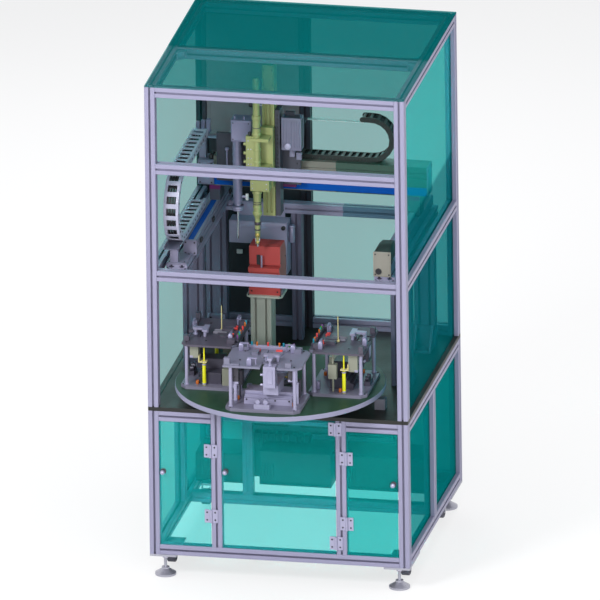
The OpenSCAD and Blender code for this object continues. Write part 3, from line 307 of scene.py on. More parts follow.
def recolour(material, rgb, mask):
    """Gives a material a second colour where the mask is 1."""
    tree = material.node_tree
    base = tree.nodes["effect"].inputs["Color"]
    tree.links.new(mixed(tree, mask, tuple(base.default_value), linear(*rgb)), base)


def vary_sheet(material, *spans):
    """Gives a tinted sheet another colour and cover in each span: its box, colour and cover."""
    tree = material.node_tree
    base = tree.nodes["effect"].inputs["Color"]
    alpha = tree.nodes["Principled BSDF"].inputs["Alpha"]
    colour, cover = tuple(base.default_value), alpha.default_value
    for box, rgb, share in spans:
        mask = within(tree, *box)
        colour = mixed(tree, mask, colour, linear(*rgb))
        change = math_node(tree, "MULTIPLY", mask, share - alpha.default_value)
        cover = math_node(tree, "ADD", cover, change)
    tree.links.new(colour, base)
    tree.links.new(cover, alpha)


PROFILE = metal("anodised_profile", (138, 136, 162), 0.45, 0.2, depth=0.06, shade=0.05)
# Corner posts: the profile's colour, with painted shade on the rear uprights (box below)
POSTS = metal("upright_profile", (140, 138, 164), 0.45, 0.2, depth=0.06, shade=0.05)
# Gantry uprights: the profile's colour made darker, as painted shade
UPRIGHT = metal("shaded_gantry_uprights", (98, 96, 118), 0.5, 0.15, depth=0.06, shade=0.05)
# Gantry beams: the profile's colour, with painted shade on the rear beams at the right (box below)
GANTRY = metal("gantry_profile", (140, 138, 164), 0.45, 0.2, depth=0.06, shade=0.05)
FOOT = metal("zinc_steel", (168, 168, 180), 0.34, 0.7)
RUBBER = paint("caster_rubber", (84, 84, 96), 0.6, 0.0, 500.0, 0.3)
TABLE = metal("ground_plate", (32, 33, 32), 0.5, 0.3, (30, 400, 400))
TEAL = tinted_sheet("teal_acrylic", (26, 207, 204), 0.52, 0.75)
TEAL_BACK = tinted_sheet("grey_teal_acrylic", (38, 132, 130), 0.55, 0.75)
# Side sheets: their lower right part is darker and more opaque, as painted shade (set below)
TEAL_SIDES = tinted_sheet("side_acrylic", (26, 207, 204), 0.53, 0.75)
# Cabinet sheets: dark and nearly opaque, as painted shade of the cabinet's inside; clearer and lighter on the
# left (set below)
TEAL_LOW = tinted_sheet("cabinet_acrylic_painted_shade", (4, 152, 152), 0.8, 0.55)
TEAL_DOOR = tinted_sheet("right_door_acrylic", (26, 186, 182), 0.77, 0.75)
TEAL_TOP = tinted_sheet("dark_teal_acrylic", (16, 127, 127), 0.52, 0.5)
DARK_SHEET = paint("dark_sheet", (46, 50, 58), 0.6, 0.0)
GREY_SHEET = paint("grey_cover_sheet", (122, 112, 118), 0.6, 0.0)
GUIDE_COVER = paint("guide_cover", (126, 123, 114), 0.5)
HINGE = metal("cast_hinge", (160, 158, 184), 0.38, 0.4)
KNOB = paint("door_knob", (58, 50, 58), 0.35, 0.3)
CONTROL = paint("control_boxes", (46, 50, 56), 0.5)
MODULE = metal("module_aluminium", (118, 116, 138), 0.45, 0.2, (400, 12, 400))
STRIP = paint("blue_strip", (0, 72, 156), 0.5, 0.0, specular=0.1)
CHAIN = paint("chain_links", (158, 158, 178), 0.5, 0.05)
CHAIN_DARK = paint("dark_chain_links", (22, 32, 30), 0.5, 0.05)
COLUMN = metal("column_profile", (172, 176, 166), 0.45, 0.2, (400, 400, 12))
FEEDER = paint("red_feeder", (158, 64, 62), 0.45, 0.05, specular=0.25)
SUPPLY = paint("supply_box", (142, 140, 166), 0.45)
DRIVE = paint("drive_casting", (104, 104, 116), 0.5, 0.1, 300.0, 0.4)
DISC = metal("green_table", (18, 54, 36), 0.5, 0.1, (300, 300, 300), 0.08, 0.16)
# Jig plates: the side jigs' darker colour, as painted shade; the front jig's lighter one, painted light, is
# set below
JIG_PLATE = metal("jig_plate", (74, 70, 84), 0.45, 0.2, (30, 420, 420))
JIG_BASE = metal("jig_base", (120, 118, 138), 0.42, 0.3)
JIG_METAL = metal("jig_metal", (146, 144, 170), 0.36, 0.3)
# Jig blocks: the same painted shade on the side jigs and painted light on the front jig
JIG_BLOCK = metal("jig_block", (64, 62, 76), 0.4, 0.3)
SENSOR = paint("sensor_housing", (128, 130, 116), 0.5)
DAMPER = paint("yellow_damper", (214, 212, 20), 0.35, 0.3)
# Bridge: its right part gets painted shade (box below)
BRIDGE = metal("bridge_aluminium", (112, 112, 104), 0.42, 0.3, (12, 400, 400))
# Sliders: magenta, with painted shade below 1.334 m (box below)
MAGENTA = paint("magenta_slider", (88, 14, 78), 0.45, 0.1)
MOTOR = paint("motor_housing", (106, 106, 128), 0.45)
TOOL = paint("tool_plate", (52, 54, 66), 0.5)
Z_MODULE = metal("olive_module", (142, 147, 96), 0.4, 0.15, (420, 420, 12))
PROBE = metal("probe_aluminium", (126, 124, 152), 0.4, 0.3)
STEEL = metal("hardened_steel", (190, 190, 196), 0.22, 0.95, (400, 400, 20))
SCREW = metal("black_oxide_screw", (48, 46, 52), 0.35, 0.6)
BRIGHT_SCREW = metal("zinc_screw", (186, 184, 200), 0.3, 0.7)
BLACK = paint("black_plastic", (30, 32, 36), 0.5, 0.1)
CREAM = paint("cream_rod", (196, 186, 130), 0.4, 0.1)
CYAN = paint("cyan_ring", (24, 128, 150), 0.4, 0.2)
ORANGE = paint("orange_ring", (176, 94, 30), 0.4, 0.2)
GREEN = paint("green_ring", (56, 124, 48), 0.4, 0.2)
PURPLE = paint("purple_ring", (108, 64, 124), 0.4, 0.2)
SIGNAL_RED = paint("red_fitting", (200, 60, 58), 0.4, 0.2)
BRASS = metal("brass_fitting", (190, 168, 96), 0.3, 0.8)
WHITE = paint("white_plastic", (226, 228, 230), 0.4, 0.1)

# Boxes, in metres, in which a material has another colour
# The front jig: its plate and blocks lighter than on the side jigs, as painted light
FRONT_JIG = ((-0.17, -1, 0), (0.14, -0.5, 2))
# Painted shade: dark teal-blue on the gantry's rear beams at the right
SHADED_RIGHT_BEAM_REAR = ((0.09, 0.3, 0), (0.372, 1, 2))
TOOL_PLATE_RIGHT = ((-0.012, 0.15, 1.6), (0.3, 0.2, 1.7))
# Painted shade: the rear uprights get a dark colour where they stand in shadow
SHADED_REAR_UPRIGHTS = ((-0.6, 0.4, 0.6), (-0.04, 0.6, 2))
# Painted shade: the bridge's right part in dark green-grey
SHADED_BRIDGE_RIGHT = ((0.1, -1, 0), (1, 1, 2))
# Painted shade: the sliders' lower parts in dark grey
SHADED_SLIDER_LOW = ((-1, -1, 0), (1, 1, 1.334))
LEFT_PANELS = ((-1, -1, 0), (0, 1, 3))
# Painted shade: the right side sheets below 1.42 m, darker and more opaque
SHADED_RIGHT_PANELS_LOW = ((0, -1, 0), (1, 1, 1.42))
ROOF_REAR = ((-1, -0.04, 1), (1, 1, 3))
CABINET_LEFT = ((-1, -1, 0), (-0.4, 0, 3))

DISC_AXIS = (-0.015, -0.37, 0)
DISC_EDGE_FROM = 0.3965

# Second colours: the front jig's lighter plate and blocks are painted light; the right rear gantry beams, the
# rear uprights, the bridge's right part and the lower sliders get painted shade
SECOND_COLOURS = (
    (JIG_PLATE, (112, 112, 132), FRONT_JIG), (DAMPER, (150, 148, 176), FRONT_JIG),
    (JIG_BLOCK, (146, 144, 170), FRONT_JIG), (SENSOR, (52, 50, 60), FRONT_JIG),
    (GANTRY, (72, 106, 128), SHADED_RIGHT_BEAM_REAR), (TOOL, (172, 190, 188), TOOL_PLATE_RIGHT),
    (POSTS, (50, 50, 62), SHADED_REAR_UPRIGHTS), (BRIDGE, (52, 78, 68), SHADED_BRIDGE_RIGHT),
    (MAGENTA, (62, 62, 74), SHADED_SLIDER_LOW),
)
for material, second, box in SECOND_COLOURS:
    recolour(material, second, within(material.node_tree, *box))

recolour(DISC, (128, 128, 152), beyond_radius(DISC.node_tree, DISC_AXIS, DISC_EDGE_FROM))
# The right sheets' lower part takes painted shade
vary_sheet(TEAL_SIDES, (LEFT_PANELS, (38, 132, 130), 0.55), (SHADED_RIGHT_PANELS_LOW, (10, 150, 156), 0.68))
vary_sheet(TEAL_TOP, (ROOF_REAR, (4, 118, 120), 0.78))
# The cabinet's sheets keep their painted shade, except on the left
vary_sheet(TEAL_LOW, (CABINET_LEFT, (38, 160, 154), 0.5))

FINISHES = {
    "lower_posts": PROFILE, "lower_rails": PROFILE, "upper_posts": POSTS, "upper_rails": PROFILE,
    "gantry_posts": UPRIGHT, "gantry_beams": GANTRY, "foot_plates": FOOT, "levelling_feet": FOOT,
    "table_plate": TABLE, "top_panel": TEAL_TOP, "side_panels": TEAL_SIDES, "lower_panels": TEAL_LOW,
    "back_panel_clear": TEAL_BACK, "back_panel_dark": DARK_SHEET, "door_left": TEAL, "door_middle": TEAL,
    "door_right": TEAL_DOOR, "door_left_fittings": HINGE, "door_middle_fittings": HINGE,
    "door_right_fittings": HINGE, "hinge_frame_leaves": HINGE, "control_panel": CONTROL,
    "y_module": MODULE, "y_guide": MODULE, "y_strip": STRIP, "x_strip": STRIP, "chain_y": CHAIN,
    "chain_x": CHAIN_DARK, "feeder_column": COLUMN, "feeder": FEEDER, "feeder_box": SUPPLY,
    "index_drive": DRIVE, "turntable_disc": DISC, "jig_base_plates": JIG_BASE,
    "jig_top_plates": JIG_PLATE, "jig_posts": JIG_METAL, "jig_cylinders": JIG_BLOCK,
    "clamp_front": JIG_METAL, "clamp_left": JIG_METAL, "clamp_right": JIG_METAL, "jig_sensors": SENSOR,
    "jig_dampers": DAMPER, "x_beam": BRIDGE, "y_sliders": MAGENTA, "x_slider": MAGENTA,
    "x_motor": MOTOR, "tool_plate": TOOL, "z_module": Z_MODULE, "driver_body": Z_MODULE,
    "probe_body": PROBE, "probe_rod": STEEL, "driver_bit": STEEL,
}


def finish_nodes():
    """Gives the CAD meshes their materials; casters that FINISHES doesn't name are rubber and steel."""
    for name, obj in nodes.items():
        material = FINISHES.get(name)
        if material is None:
            material = RUBBER if "wheel" in name else FOOT
        for slot in obj.material_slots:
            slot.material = material


def add_floor():
    bpy.ops.mesh.primitive_plane_add(size=30, location=(0, 0, -0.001))
    floor = bpy.context.active_object
    floor.name = "studio_floor"
    material, tree, shader = new_material("pale_floor")
    feed(tree, shader, {"Base Color": (0.88, 0.88, 0.89, 1), "Roughness": 0.9})
    glow = new_node(tree, "Emission")
    share = math_node(tree, "MULTIPLY", clear_view(tree), 0.72)
    mix = new_node(tree, "MixShader", {0: share, 1: shader.outputs[0], 2: glow.outputs[0]})
    feed(tree, tree.nodes["Material Output"], {0: mix.outputs[0]})
    floor.data.materials.append(material)


# Modelling steps that every piece shares; lengths from here on are in millimetres

LEFT, RIGHT = (-1, 0, 0), (1, 0, 0)
FRONT, BACK = (0, -1, 0), (0, 1, 0)
DOWN, UP = (0, 0, -1), (0, 0, 1)
TURN_TO = {"x": (0, math.pi / 2, 0), "y": (math.pi / 2, 0, 0), "z": (0, 0, 0)}
BEVEL_FROM = math.radians(40)
SMOOTH_BELOW = math.radians(35)

# How far a face's normal has to agree with a way, from 0 to 1, for the face to look that way
FACE_MATCH = 0.9

# How far the walls of a sunk field lean
WALL_LEAN = 0.02


def metres(lengths):
    return [length / 1000 for length in lengths]


def only(piece):
    bpy.ops.object.select_all(action="DESELECT")
    piece.select_set(True)
    bpy.context.view_layer.objects.active = piece


def settle(scale=(1, 1, 1)):
    piece = bpy.context.active_object
    piece.scale = scale
    bpy.ops.object.transform_apply(location=True, rotation=True, scale=True)
    return piece


def block(low, high):
    bpy.ops.mesh.primitive_cube_add(size=1, location=metres((a + b) / 2 for a, b in zip(low, high)))
    return settle(metres(b - a for a, b in zip(low, high)))


def rod(centre, axis, length, radius, sides=24):
    bpy.ops.mesh.primitive_cylinder_add(vertices=sides, radius=radius / 1000, depth=length / 1000,
                                        location=metres(centre), rotation=TURN_TO[axis])
    return settle()


def pick(piece, *ways):
    """Edit mode, with the faces selected that look one of the ways."""
    only(piece)
    bpy.ops.object.mode_set(mode="EDIT")
    bpy.ops.mesh.select_mode(type="FACE")
    mesh = bmesh.from_edit_mesh(piece.data)
    for face in mesh.faces:
        face.select_set(any(face.normal.dot(Vector(way)) > FACE_MATCH for way in ways))
    bmesh.update_edit_mesh(piece.data)


def sink(piece, rim, depth, *ways):
    """Leaves a rim round the chosen faces and moves them in by depth, or out where it is negative."""
    pick(piece, *ways)
    bpy.ops.mesh.inset(thickness=rim / 1000, use_even_offset=True)
    bpy.ops.mesh.inset(thickness=WALL_LEAN / 1000, depth=-depth / 1000)
    bpy.ops.object.mode_set(mode="OBJECT")


def draw_out(piece, way, by):
    pick(piece, way)
    bpy.ops.mesh.extrude_region_move(TRANSFORM_OT_translate={"value": metres(by)})
    bpy.ops.object.mode_set(mode="OBJECT")


def narrow(piece, way, factor, shift=(0, 0, 0)):
    """Scales the faces that look one way about their middle, then shifts them."""
    pick(piece, way)
    bpy.ops.transform.resize(value=factor)
    bpy.ops.transform.translate(value=metres(shift))
    bpy.ops.object.mode_set(mode="OBJECT")
    return piece


def soften(piece, width=0.8, segments=2):
    only(piece)
    edge = piece.modifiers.new("edge", "BEVEL")
    edge.width = width / 1000
    edge.segments = segments
    edge.limit_method = "ANGLE"
    edge.angle_limit = BEVEL_FROM
    bpy.ops.object.modifier_apply(modifier="edge")
    return piece


def panel(low, high, way, rim, depth, width=0.8, segments=2):
    """Soft-edged block with a field sunk into one side, or raised from it where depth is negative."""
    piece = block(low, high)
    sink(piece, rim, depth, way)
    return soften(piece, width, segments)


def join(name, pieces):
    only(pieces[0])
    for piece in pieces:
        piece.select_set(True)
    if len(pieces) > 1:
        bpy.ops.object.join()
    pieces[0].name = name
    return pieces[0]


def copies(piece, matrices):
    """A copy of the piece for each matrix, in its place."""
    twins = []
    for matrix in matrices:
        twins.append(new_object(piece.name, piece.data.copy()))
        twins[-1].data.transform(matrix)
    bpy.data.objects.remove(piece)
    return twins


def grid(xs, ys, zs, way):
    """Spots at every crossing of the given X, Y and Z; a spot is a place and the way it points."""
    return [((x, y, z), way) for x in xs for y in ys for z in zs]


def spread(piece, spots):
    """Copies of a piece made at the origin, with its +Z turned to each spot's way."""
    matrices = []
    for place, way in spots:
        turn = Vector(UP).rotation_difference(Vector(way)).to_matrix().to_4x4()
        matrices.append(Matrix.Translation(metres(place)) @ turn)
    return copies(piece, matrices)


def finish(name, pieces, body, material):
    """Joins the pieces into one with this name, body and material."""
    piece = join(name, pieces)
    only(piece)
    bpy.ops.object.shade_smooth_by_angle(angle=SMOOTH_BELOW)
    piece.data.materials.clear()
    piece.data.materials.append(material)
    if body:
        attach(piece, body)
    return piece


def cap_screw(radius, high):
    """Socket head screw that stands on the origin."""
    piece = soften(rod((0, 0, high / 2), "z", high, radius, 16), radius * 0.14, 1)
    sink(piece, radius * 0.42, high * 0.5, UP)
    return piece


def add_screws(name, radius, high, spots, body, material=SCREW):
    finish(name, spread(cap_screw(radius, high), spots), body, material)


def collar(radius, high, bead=0.25):
    """Round band with a bead at each end, standing on the origin."""
    piece = rod((0, 0, high / 2), "z", high, radius, 28)
    for way in (DOWN, UP):
        sink(piece, radius * 0.12, -high * 0.12, way)
    return soften(piece, radius * bead * 0.3)


def add_collars(name, radius, high, spots, body, material, bead=0.25):
    finish(name, spread(collar(radius, high, bead), spots), body, material)


def ring_stack(x, y, bands):
    """Round bands on a spindle; each band is its lower end, its height and its radius."""
    pieces = []
    for low, high, radius in bands:
        band = rod((x, y, low + high / 2), "z", high, radius, 32)
        for way in (DOWN, UP):
            sink(band, radius * 0.1, -high * 0.12, way)
        pieces.append(soften(band, min(1.2, high * 0.2)))
    return pieces


# Frame: hinges, knobs, brackets and feet

FRAME_FRONT = -500
FOOT_OUT = 450
CASTER_Y = 345
GANTRY_OUT = 400
SIDE_HINGES, MIDDLE_HINGES = (261, 522), (181, 638)
# Door, X of its hinges' axis, side of the axis where the frame's leaf is, heights
HINGES = (("left_door", -261, 1, SIDE_HINGES), ("right_door", 261, -1, SIDE_HINGES),
          ("middle_door", 219, 1, MIDDLE_HINGES))


def add_hinge_screws():
    """Two screws in each leaf, on the frame's side and on the door's side of each hinge's axis."""
    spots = {"frame": [], "left_door": [], "right_door": [], "middle_door": []}
    for door, axis, frame_side, heights in HINGES:
        for z in heights:
            for rise in (-15, 15):
                for body, side in (("frame", frame_side), (door, -frame_side)):
                    spots[body].append(((axis + side * 15.5, FRAME_FRONT - 3, z + rise), FRONT))
    for body, places in spots.items():
        add_screws("hinge_screws_" + body, 3.4, 1.4, places, body)


def add_knob_collars():
    for body, x, z in (("left_door", -443, 432), ("right_door", 443, 432), ("middle_door", -203, 445)):
        spot = ((x, FRAME_FRONT - 3.2, z), FRONT)
        add_collars("knob_collar_" + body, 11, 4, [spot], body, KNOB)


def add_gussets():
    """Cast brackets inside the roof's corners and under the gantry beams: 36 mm legs, 30 mm wide."""
    slope = (0.7, 0, 0.7)
    gusset = block((0, -15, 0), (36, 15, 5))
    draw_out(gusset, UP, (0, 0, 31))
    narrow(gusset, UP, (0.14, 1, 1), (-15.5, 0, 0))
    sink(gusset, 5, 6, slope)
    soften(gusset, 1.0)
    matrices = []
    for side in (-1, 1):
        for back in (-1, 1):
            for corner, second_leg in (((side * 459.7, -40 + back * 20, 1947), (-side, 0, 0)),
                                       ((side * GANTRY_OUT, -100 + back * 20, 1190), DOWN),
                                       ((side * GANTRY_OUT, 340 + back * 20, 1190), DOWN)):
                x_axis, z_axis = Vector((0, back, 0)), Vector(second_leg)
                turn = Matrix((x_axis, z_axis.cross(x_axis), z_axis)).transposed().to_4x4()
                matrices.append(Matrix.Translation(metres(corner)) @ turn)
    finish("frame_gussets", copies(gusset, matrices), "frame", HINGE)


def add_joint_bolts():
    """Heads in the side slots of the corner posts, where each rail meets its post."""
    slot_floor = 494.2
    spots = [((side * slot_floor, y, z), (side, 0, 0)) for side in (-1, 1)
             for z in (1210, 1639, 1947, 115, 650) for y in (-480, 480)]
    add_screws("joint_bolts", 3.8, 4, spots, "frame", BRIGHT_SCREW)


def add_foot_details():
    xs = [x + across for x in (-FOOT_OUT, FOOT_OUT) for across in (-22, 22)]
    ys = [y + along for y in (-CASTER_Y, CASTER_Y) for along in (-22, 22)]
    spots = grid(xs, ys, (81,), DOWN)
    nut = soften(rod((0, 0, 4), "z", 8, 12, 6), 1.2, 1)
    nuts = spread(nut, grid((-FOOT_OUT, FOOT_OUT), (-FOOT_OUT, FOOT_OUT), (66,), UP))
    finish("lock_nuts", nuts, "frame", BRIGHT_SCREW)
    add_screws("caster_plate_screws", 4, 4, spots, "frame", BRIGHT_SCREW)


def add_wheel_hubs():
    for end, y in (("front", -323), ("rear", 323)):
        for hand, x in (("left", -FOOT_OUT), ("right", FOOT_OUT)):
            hub = rod((0, 0, 1.5), "z", 3, 13, 24)
            sink(hub, 4, 1.2, UP)
            hubs = spread(soften(hub, 0.5, 1), [((x + side * 13.1, y, 35), (side, 0, 0)) for side in (-1, 1)])
            name = end + "_" + hand
            finish("wheel_hubs_" + name, hubs, name + "_wheel", FOOT)


def add_rear_cover():
    """Grey sheet over the upper part of the dark rear panel, with its lower edge turned forward."""
    sheet = block((-458, 462, 1436), (-102, 465, 1924))
    draw_out(sheet, FRONT, (0, -1, 0))
    sink(sheet, 14, 0.8, FRONT)
    finish("rear_cover_sheet", [soften(sheet, 0.6, 1)], "frame", GREY_SHEET)
    lip = panel((-456, 440, 1430), (-104, 465, 1435), DOWN, 3, 1, 0.8, 1)
    finish("rear_cover_lip", [lip], "frame", HINGE)
    plate = panel((-352, 470, 962), (-330, 477, 978), FRONT, 3, 1.5)
    finish("wall_switch_plate", [plate], "frame", WHITE)


# Gantry: chains, linear modules and the bridge

# A chain's run: start, way, way across, length of the low run, turn's radius, pitch, links
LONG_RUN = ((-417, 94, 1304), FRONT, RIGHT, 384, 130, 42, 28)
BRIDGE_RUN = ((-55, 200, 1478), RIGHT, BACK, 288, 80, 26, 21)
PIN_OUT = 28.5
CABLES_ACROSS = (-15, -5, 5, 15)
CABLE_RADIUS = 4.5


def softened_links(node):
    """The CAD chain's mesh, merged and cleaned, with soft edges."""
    piece = new_object(node + "_links", nodes[node].data.copy())
    only(piece)
    bpy.ops.object.mode_set(mode="EDIT")
    bpy.ops.mesh.select_all(action="SELECT")
    bpy.ops.mesh.remove_doubles(threshold=0.00001)
    bpy.ops.mesh.dissolve_limited(angle_limit=math.radians(1))
    bpy.ops.object.mode_set(mode="OBJECT")
    return soften(piece, 0.6, 1)


def chain_points(run, across, steps=1):
    """Points on the run, steps to a link, moved across: a straight, a half turn and a straight."""
    place, way, side, low_run, radius, pitch, links = run
    points = []
    for index in range(links * steps + 1):
        along, high = index * pitch / steps, 0
        turn = (along - low_run) / radius
        if turn >= math.pi:
            along, high = 2 * low_run + math.pi * radius - along, 2 * radius
        elif turn >= 0:
            along, high = low_run + radius * math.sin(turn), radius - radius * math.cos(turn)
        points.append([p + w * along + s * across for p, w, s in zip(place, way, side)])
        points[-1][2] += high
    return points


def chain_cables(run):
    cables = []
    for across in CABLES_ACROSS:
        corners = chain_points(run, across, 2)
        curve = bpy.data.curves.new("cable", "CURVE")
        curve.dimensions = "3D"
        curve.bevel_depth = CABLE_RADIUS / 1000
        curve.bevel_resolution = 2
        line = curve.splines.new("POLY")
        line.points.add(len(corners) - 1)
        for point, corner in zip(line.points, corners):
            point.co = (*metres(corner), 1)
        only(new_object("cable", curve))
        bpy.ops.object.convert(target="MESH")
        cables.append(bpy.context.active_object)
    return cables


def add_chain(name, node, run, pin_radius, material):
    """Links, pins and cables of a chain."""
    links = finish(name, [softened_links(node)], None, material)
    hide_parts(node)
    pin = rod((0, 0, 0.2), "z", 1.6, pin_radius, 14)
    sink(pin, pin_radius * 0.4, 0.5, UP)
    cables = finish(name + "_cables", chain_cables(run), None, BLACK)
    spots = [(place, [side * part for part in run[2]]) for side in (-1, 1)
             for place in chain_points(run, side * PIN_OUT)[1:]]
    pins = finish(name + "_pins", spread(pin, spots), None, BLACK)
    for piece in (links, pins, cables):
        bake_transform(piece)


def add_chains():
    add_chain("long_chain", "chain_y", LONG_RUN, 4.4,
              CHAIN)
    add_chain("bridge_chain", "chain_x", BRIDGE_RUN, 3.2,
              CHAIN_DARK)


def add_module_details():
    spots = grid((-388, -354), (-302,), (1239, 1281), FRONT) + grid((-388, -354), (400,), (1239, 1281), BACK)
    spots += grid((-430, -372), (-404, -316), (1238,), UP)
    add_screws("y_module_screws", 3.2, 2.6, spots, "frame")
    rail = panel((-346, -280, 1266), (-343, 380, 1276), RIGHT, 2, 1, 0.4, 1)
    finish("sensor_rail", [rail], "frame", MODULE)
    sensors = [panel((-343.5, y, 1263), (-337, y + 26, 1279), RIGHT, 2, 0.6) for y in (-250, -20, 300)]
    finish("limit_sensors", sensors, "frame", BLACK)
    bore = rod((0, 0, 0.2), "z", 0.6, 4.4, 20)
    sink(bore, 0.6, 0.3, UP)
    bores = spread(bore, grid((-420, -380, 380, 420), (-417,), (1210,), FRONT))
    finish("beam_end_bores", bores, "frame", BLACK)
    clear_of_slider = [y for y in range(-400, 400, 60) if abs(y - 190) > 60]
    add_screws("guide_rail_bolts", 3.6, 0.25, grid((392,), clear_of_slider, (1285,), UP), "frame")


def add_post_feet():
    slots = (-422, -378, 378, 422)
    spots = grid(slots, (-28, 268), (693,), UP) + grid(slots, (-72,), (758,), BACK)
    spots += grid(slots, (312,), (758,), FRONT)
    add_screws("bracket_screws", 4.2, 4.2, spots, "frame")
    tie = panel((-350, 316, 696), (-262, 320, 726), FRONT, 1.5, -0.8)
    finish("rear_tie_plate", [tie], "frame", HINGE)
    add_screws("tie_plate_screws", 4.4, 2, grid((-334, -278), (315,), (711,), FRONT), "frame")


def add_bridge_details():
    cap = panel((450, 151, 1351), (454, 229, 1467), RIGHT, 5, -1, 1.2)
    finish("bridge_end_cap", [cap], "bridge", MOTOR)
    spots = grid((455,), (160, 220), (1363, 1455), RIGHT) + grid((-422, -378), (146,), (1361, 1437), FRONT)
    add_screws("bridge_screws", 3.2, 2.4, spots, "bridge")
    seam = panel((-431, 145, 1418), (-369, 235, 1421), FRONT, 0.8, -0.4, 0.4, 1)
    finish("motor_seam", [seam], "bridge", TOOL)
    spots = grid((-384,), (172, 208), (1448,), UP)
    add_collars("motor_glands", 9, 14, spots, "bridge", BLACK)
    plugs = []
    for x, top in ((-438, 1584), (-418, 1590), (-398, 1596)):
        plug = block((x - 7, 190, 1550), (x + 7, 206, top))
        sink(plug, 3, 3, UP)
        sink(plug, 2.4, 1, FRONT)
        plugs.append(soften(plug, 1.0))
    finish("cable_plugs", plugs, "bridge", PROBE)


# Tools on the carriage

DRIVER_X, DRIVER_Y = -170, -12
PROBE_X, PROBE_Y = -262, 70
Z_SCREWS_X = (-153, -121)


def add_driver_motor():
    ribs = []
    for index in range(7):
        x = -84.5 + index * 10.2
        ribs.append(soften(narrow(block((x, 57.9, 1552), (x + 5, 60.4, 1656)), FRONT, (0.6, 1, 1))))
    finish("drive_motor_ribs", ribs, "x_carriage", MOTOR)
    shell = block((-89, 59.9, 1539.6), (-13, 109, 1668.6))
    sink(shell, 6, 1.5, UP)
    sink(shell, 8, 1.2, LEFT, RIGHT)
    finish("drive_motor_shell", [soften(shell, 1.6)], "x_carriage", MOTOR)
    boxes = [panel((x, 96, z), (x + 20, 110.8, z + 28), FRONT, 3, 1.5, 1.0)
             for x, z in ((-66, 1500), (-40, 1490))]
    finish("terminal_boxes", boxes, "x_carriage", MOTOR)
    add_collars("motor_pulley", 12, 6, [((-64, 60.7, 1556), FRONT)], "x_carriage", HINGE)
    spots = grid((-103,), (54.7,), range(1440, 1690, 16), FRONT)
    spots += grid((-338, -218, -40), (110.7,), (1398, 1470), FRONT)
    add_screws("carriage_screws", 2.8, 2.2, spots, "x_carriage")


def add_x_slider_foot():
    foot = panel((-112, 132, 1366), (-50, 149.6, 1386), FRONT, 3, 1)
    finish("x_slider_foot", [foot], "x_carriage", MAGENTA)


def add_z_module_details():
    rails = [panel((x, 48.4, 1300), (x + 4, 51, 1780), FRONT, 0.8, 0.4, 0.4, 1) for x in (-154, -124)]
    finish("z_rails", rails, "x_carriage", Z_MODULE)
    spots = grid(Z_SCREWS_X, (59, 103), (1880,), UP) + grid(Z_SCREWS_X, (50.7,), (1800, 1860), FRONT)
    add_screws("z_module_screws", 2.6, 2, spots, "x_carriage")
    stem = soften(rod((-180, 80, 1707), "x", 44, 3.5, 16), 0.5, 1)
    finish("index_knob_stem", [stem], "x_carriage", STEEL)
    add_collars("index_knob", 10, 14, [((-200, 80, 1707), LEFT)], "x_carriage", BLACK, 0.6)
    add_collars("z_gland", 8, 12, [((-146, 96, 1880), UP)], "x_carriage", BLACK)


def add_driver_details():
    collars = ring_stack(DRIVER_X, DRIVER_Y, [(1302, 12, 18), (1330, 6, 17), (1386, 10, 18),
                                              (1452, 8, 17), (1512, 8, 17), (1560, 6, 17),
                                              (1620, 10, 17.4), (1684, 14, 17.4)])
    finish("driver_collars", collars, "z_carriage", Z_MODULE)
    seals = ring_stack(DRIVER_X, DRIVER_Y, [(1344, 3, 15.8), (1352, 3, 15.8), (1470, 3, 15.8),
                                            (1650, 3, 15.8), (1240, 4, 11.6), (1262, 10, 12.4)])
    finish("driver_seals", seals, "z_carriage", KNOB)
    bands = ring_stack(DRIVER_X, DRIVER_Y, [(1190, 5, 8.2), (1204, 3, 8), (1214, 12, 9.6)])
    finish("nozzle_bands", bands, "z_carriage", BRASS)
    jaws = []
    for x in (DRIVER_X - 6.5, DRIVER_X + 6.5):
        jaw = block((x - 2.5, DRIVER_Y - 4, 1183), (x + 2.5, DRIVER_Y + 4, 1208))
        jaws.append(soften(narrow(jaw, DOWN, (0.6, 0.7, 1)), 0.6))
    finish("nozzle_jaws", jaws, "z_carriage", STEEL)
    spots = grid((-209,), (DRIVER_Y,), (1512, 1546, 1582), LEFT)
    add_collars("feed_fittings", 6.5, 10, spots, "z_carriage", Z_MODULE)
    spots = [((-196, DRIVER_Y, 1617), UP), ((DRIVER_X, DRIVER_Y, 1836), UP)]
    add_collars("driver_glands", 6, 13, spots, "z_carriage", BLACK)
    spots = grid((-200, -190), (-24.2,), (1506, 1530, 1566, 1600), FRONT)
    spots += grid((-184, -130), (DRIVER_Y - 20,), (1412, 1432), FRONT)
    add_screws("driver_screws", 2.4, 2, spots, "z_carriage", BRIGHT_SCREW)
    clip = panel((-150, 4, 1424), (-126, 20.4, 1436), FRONT, 2, 2)
    finish("hose_clip", [clip], "z_carriage", Z_MODULE)


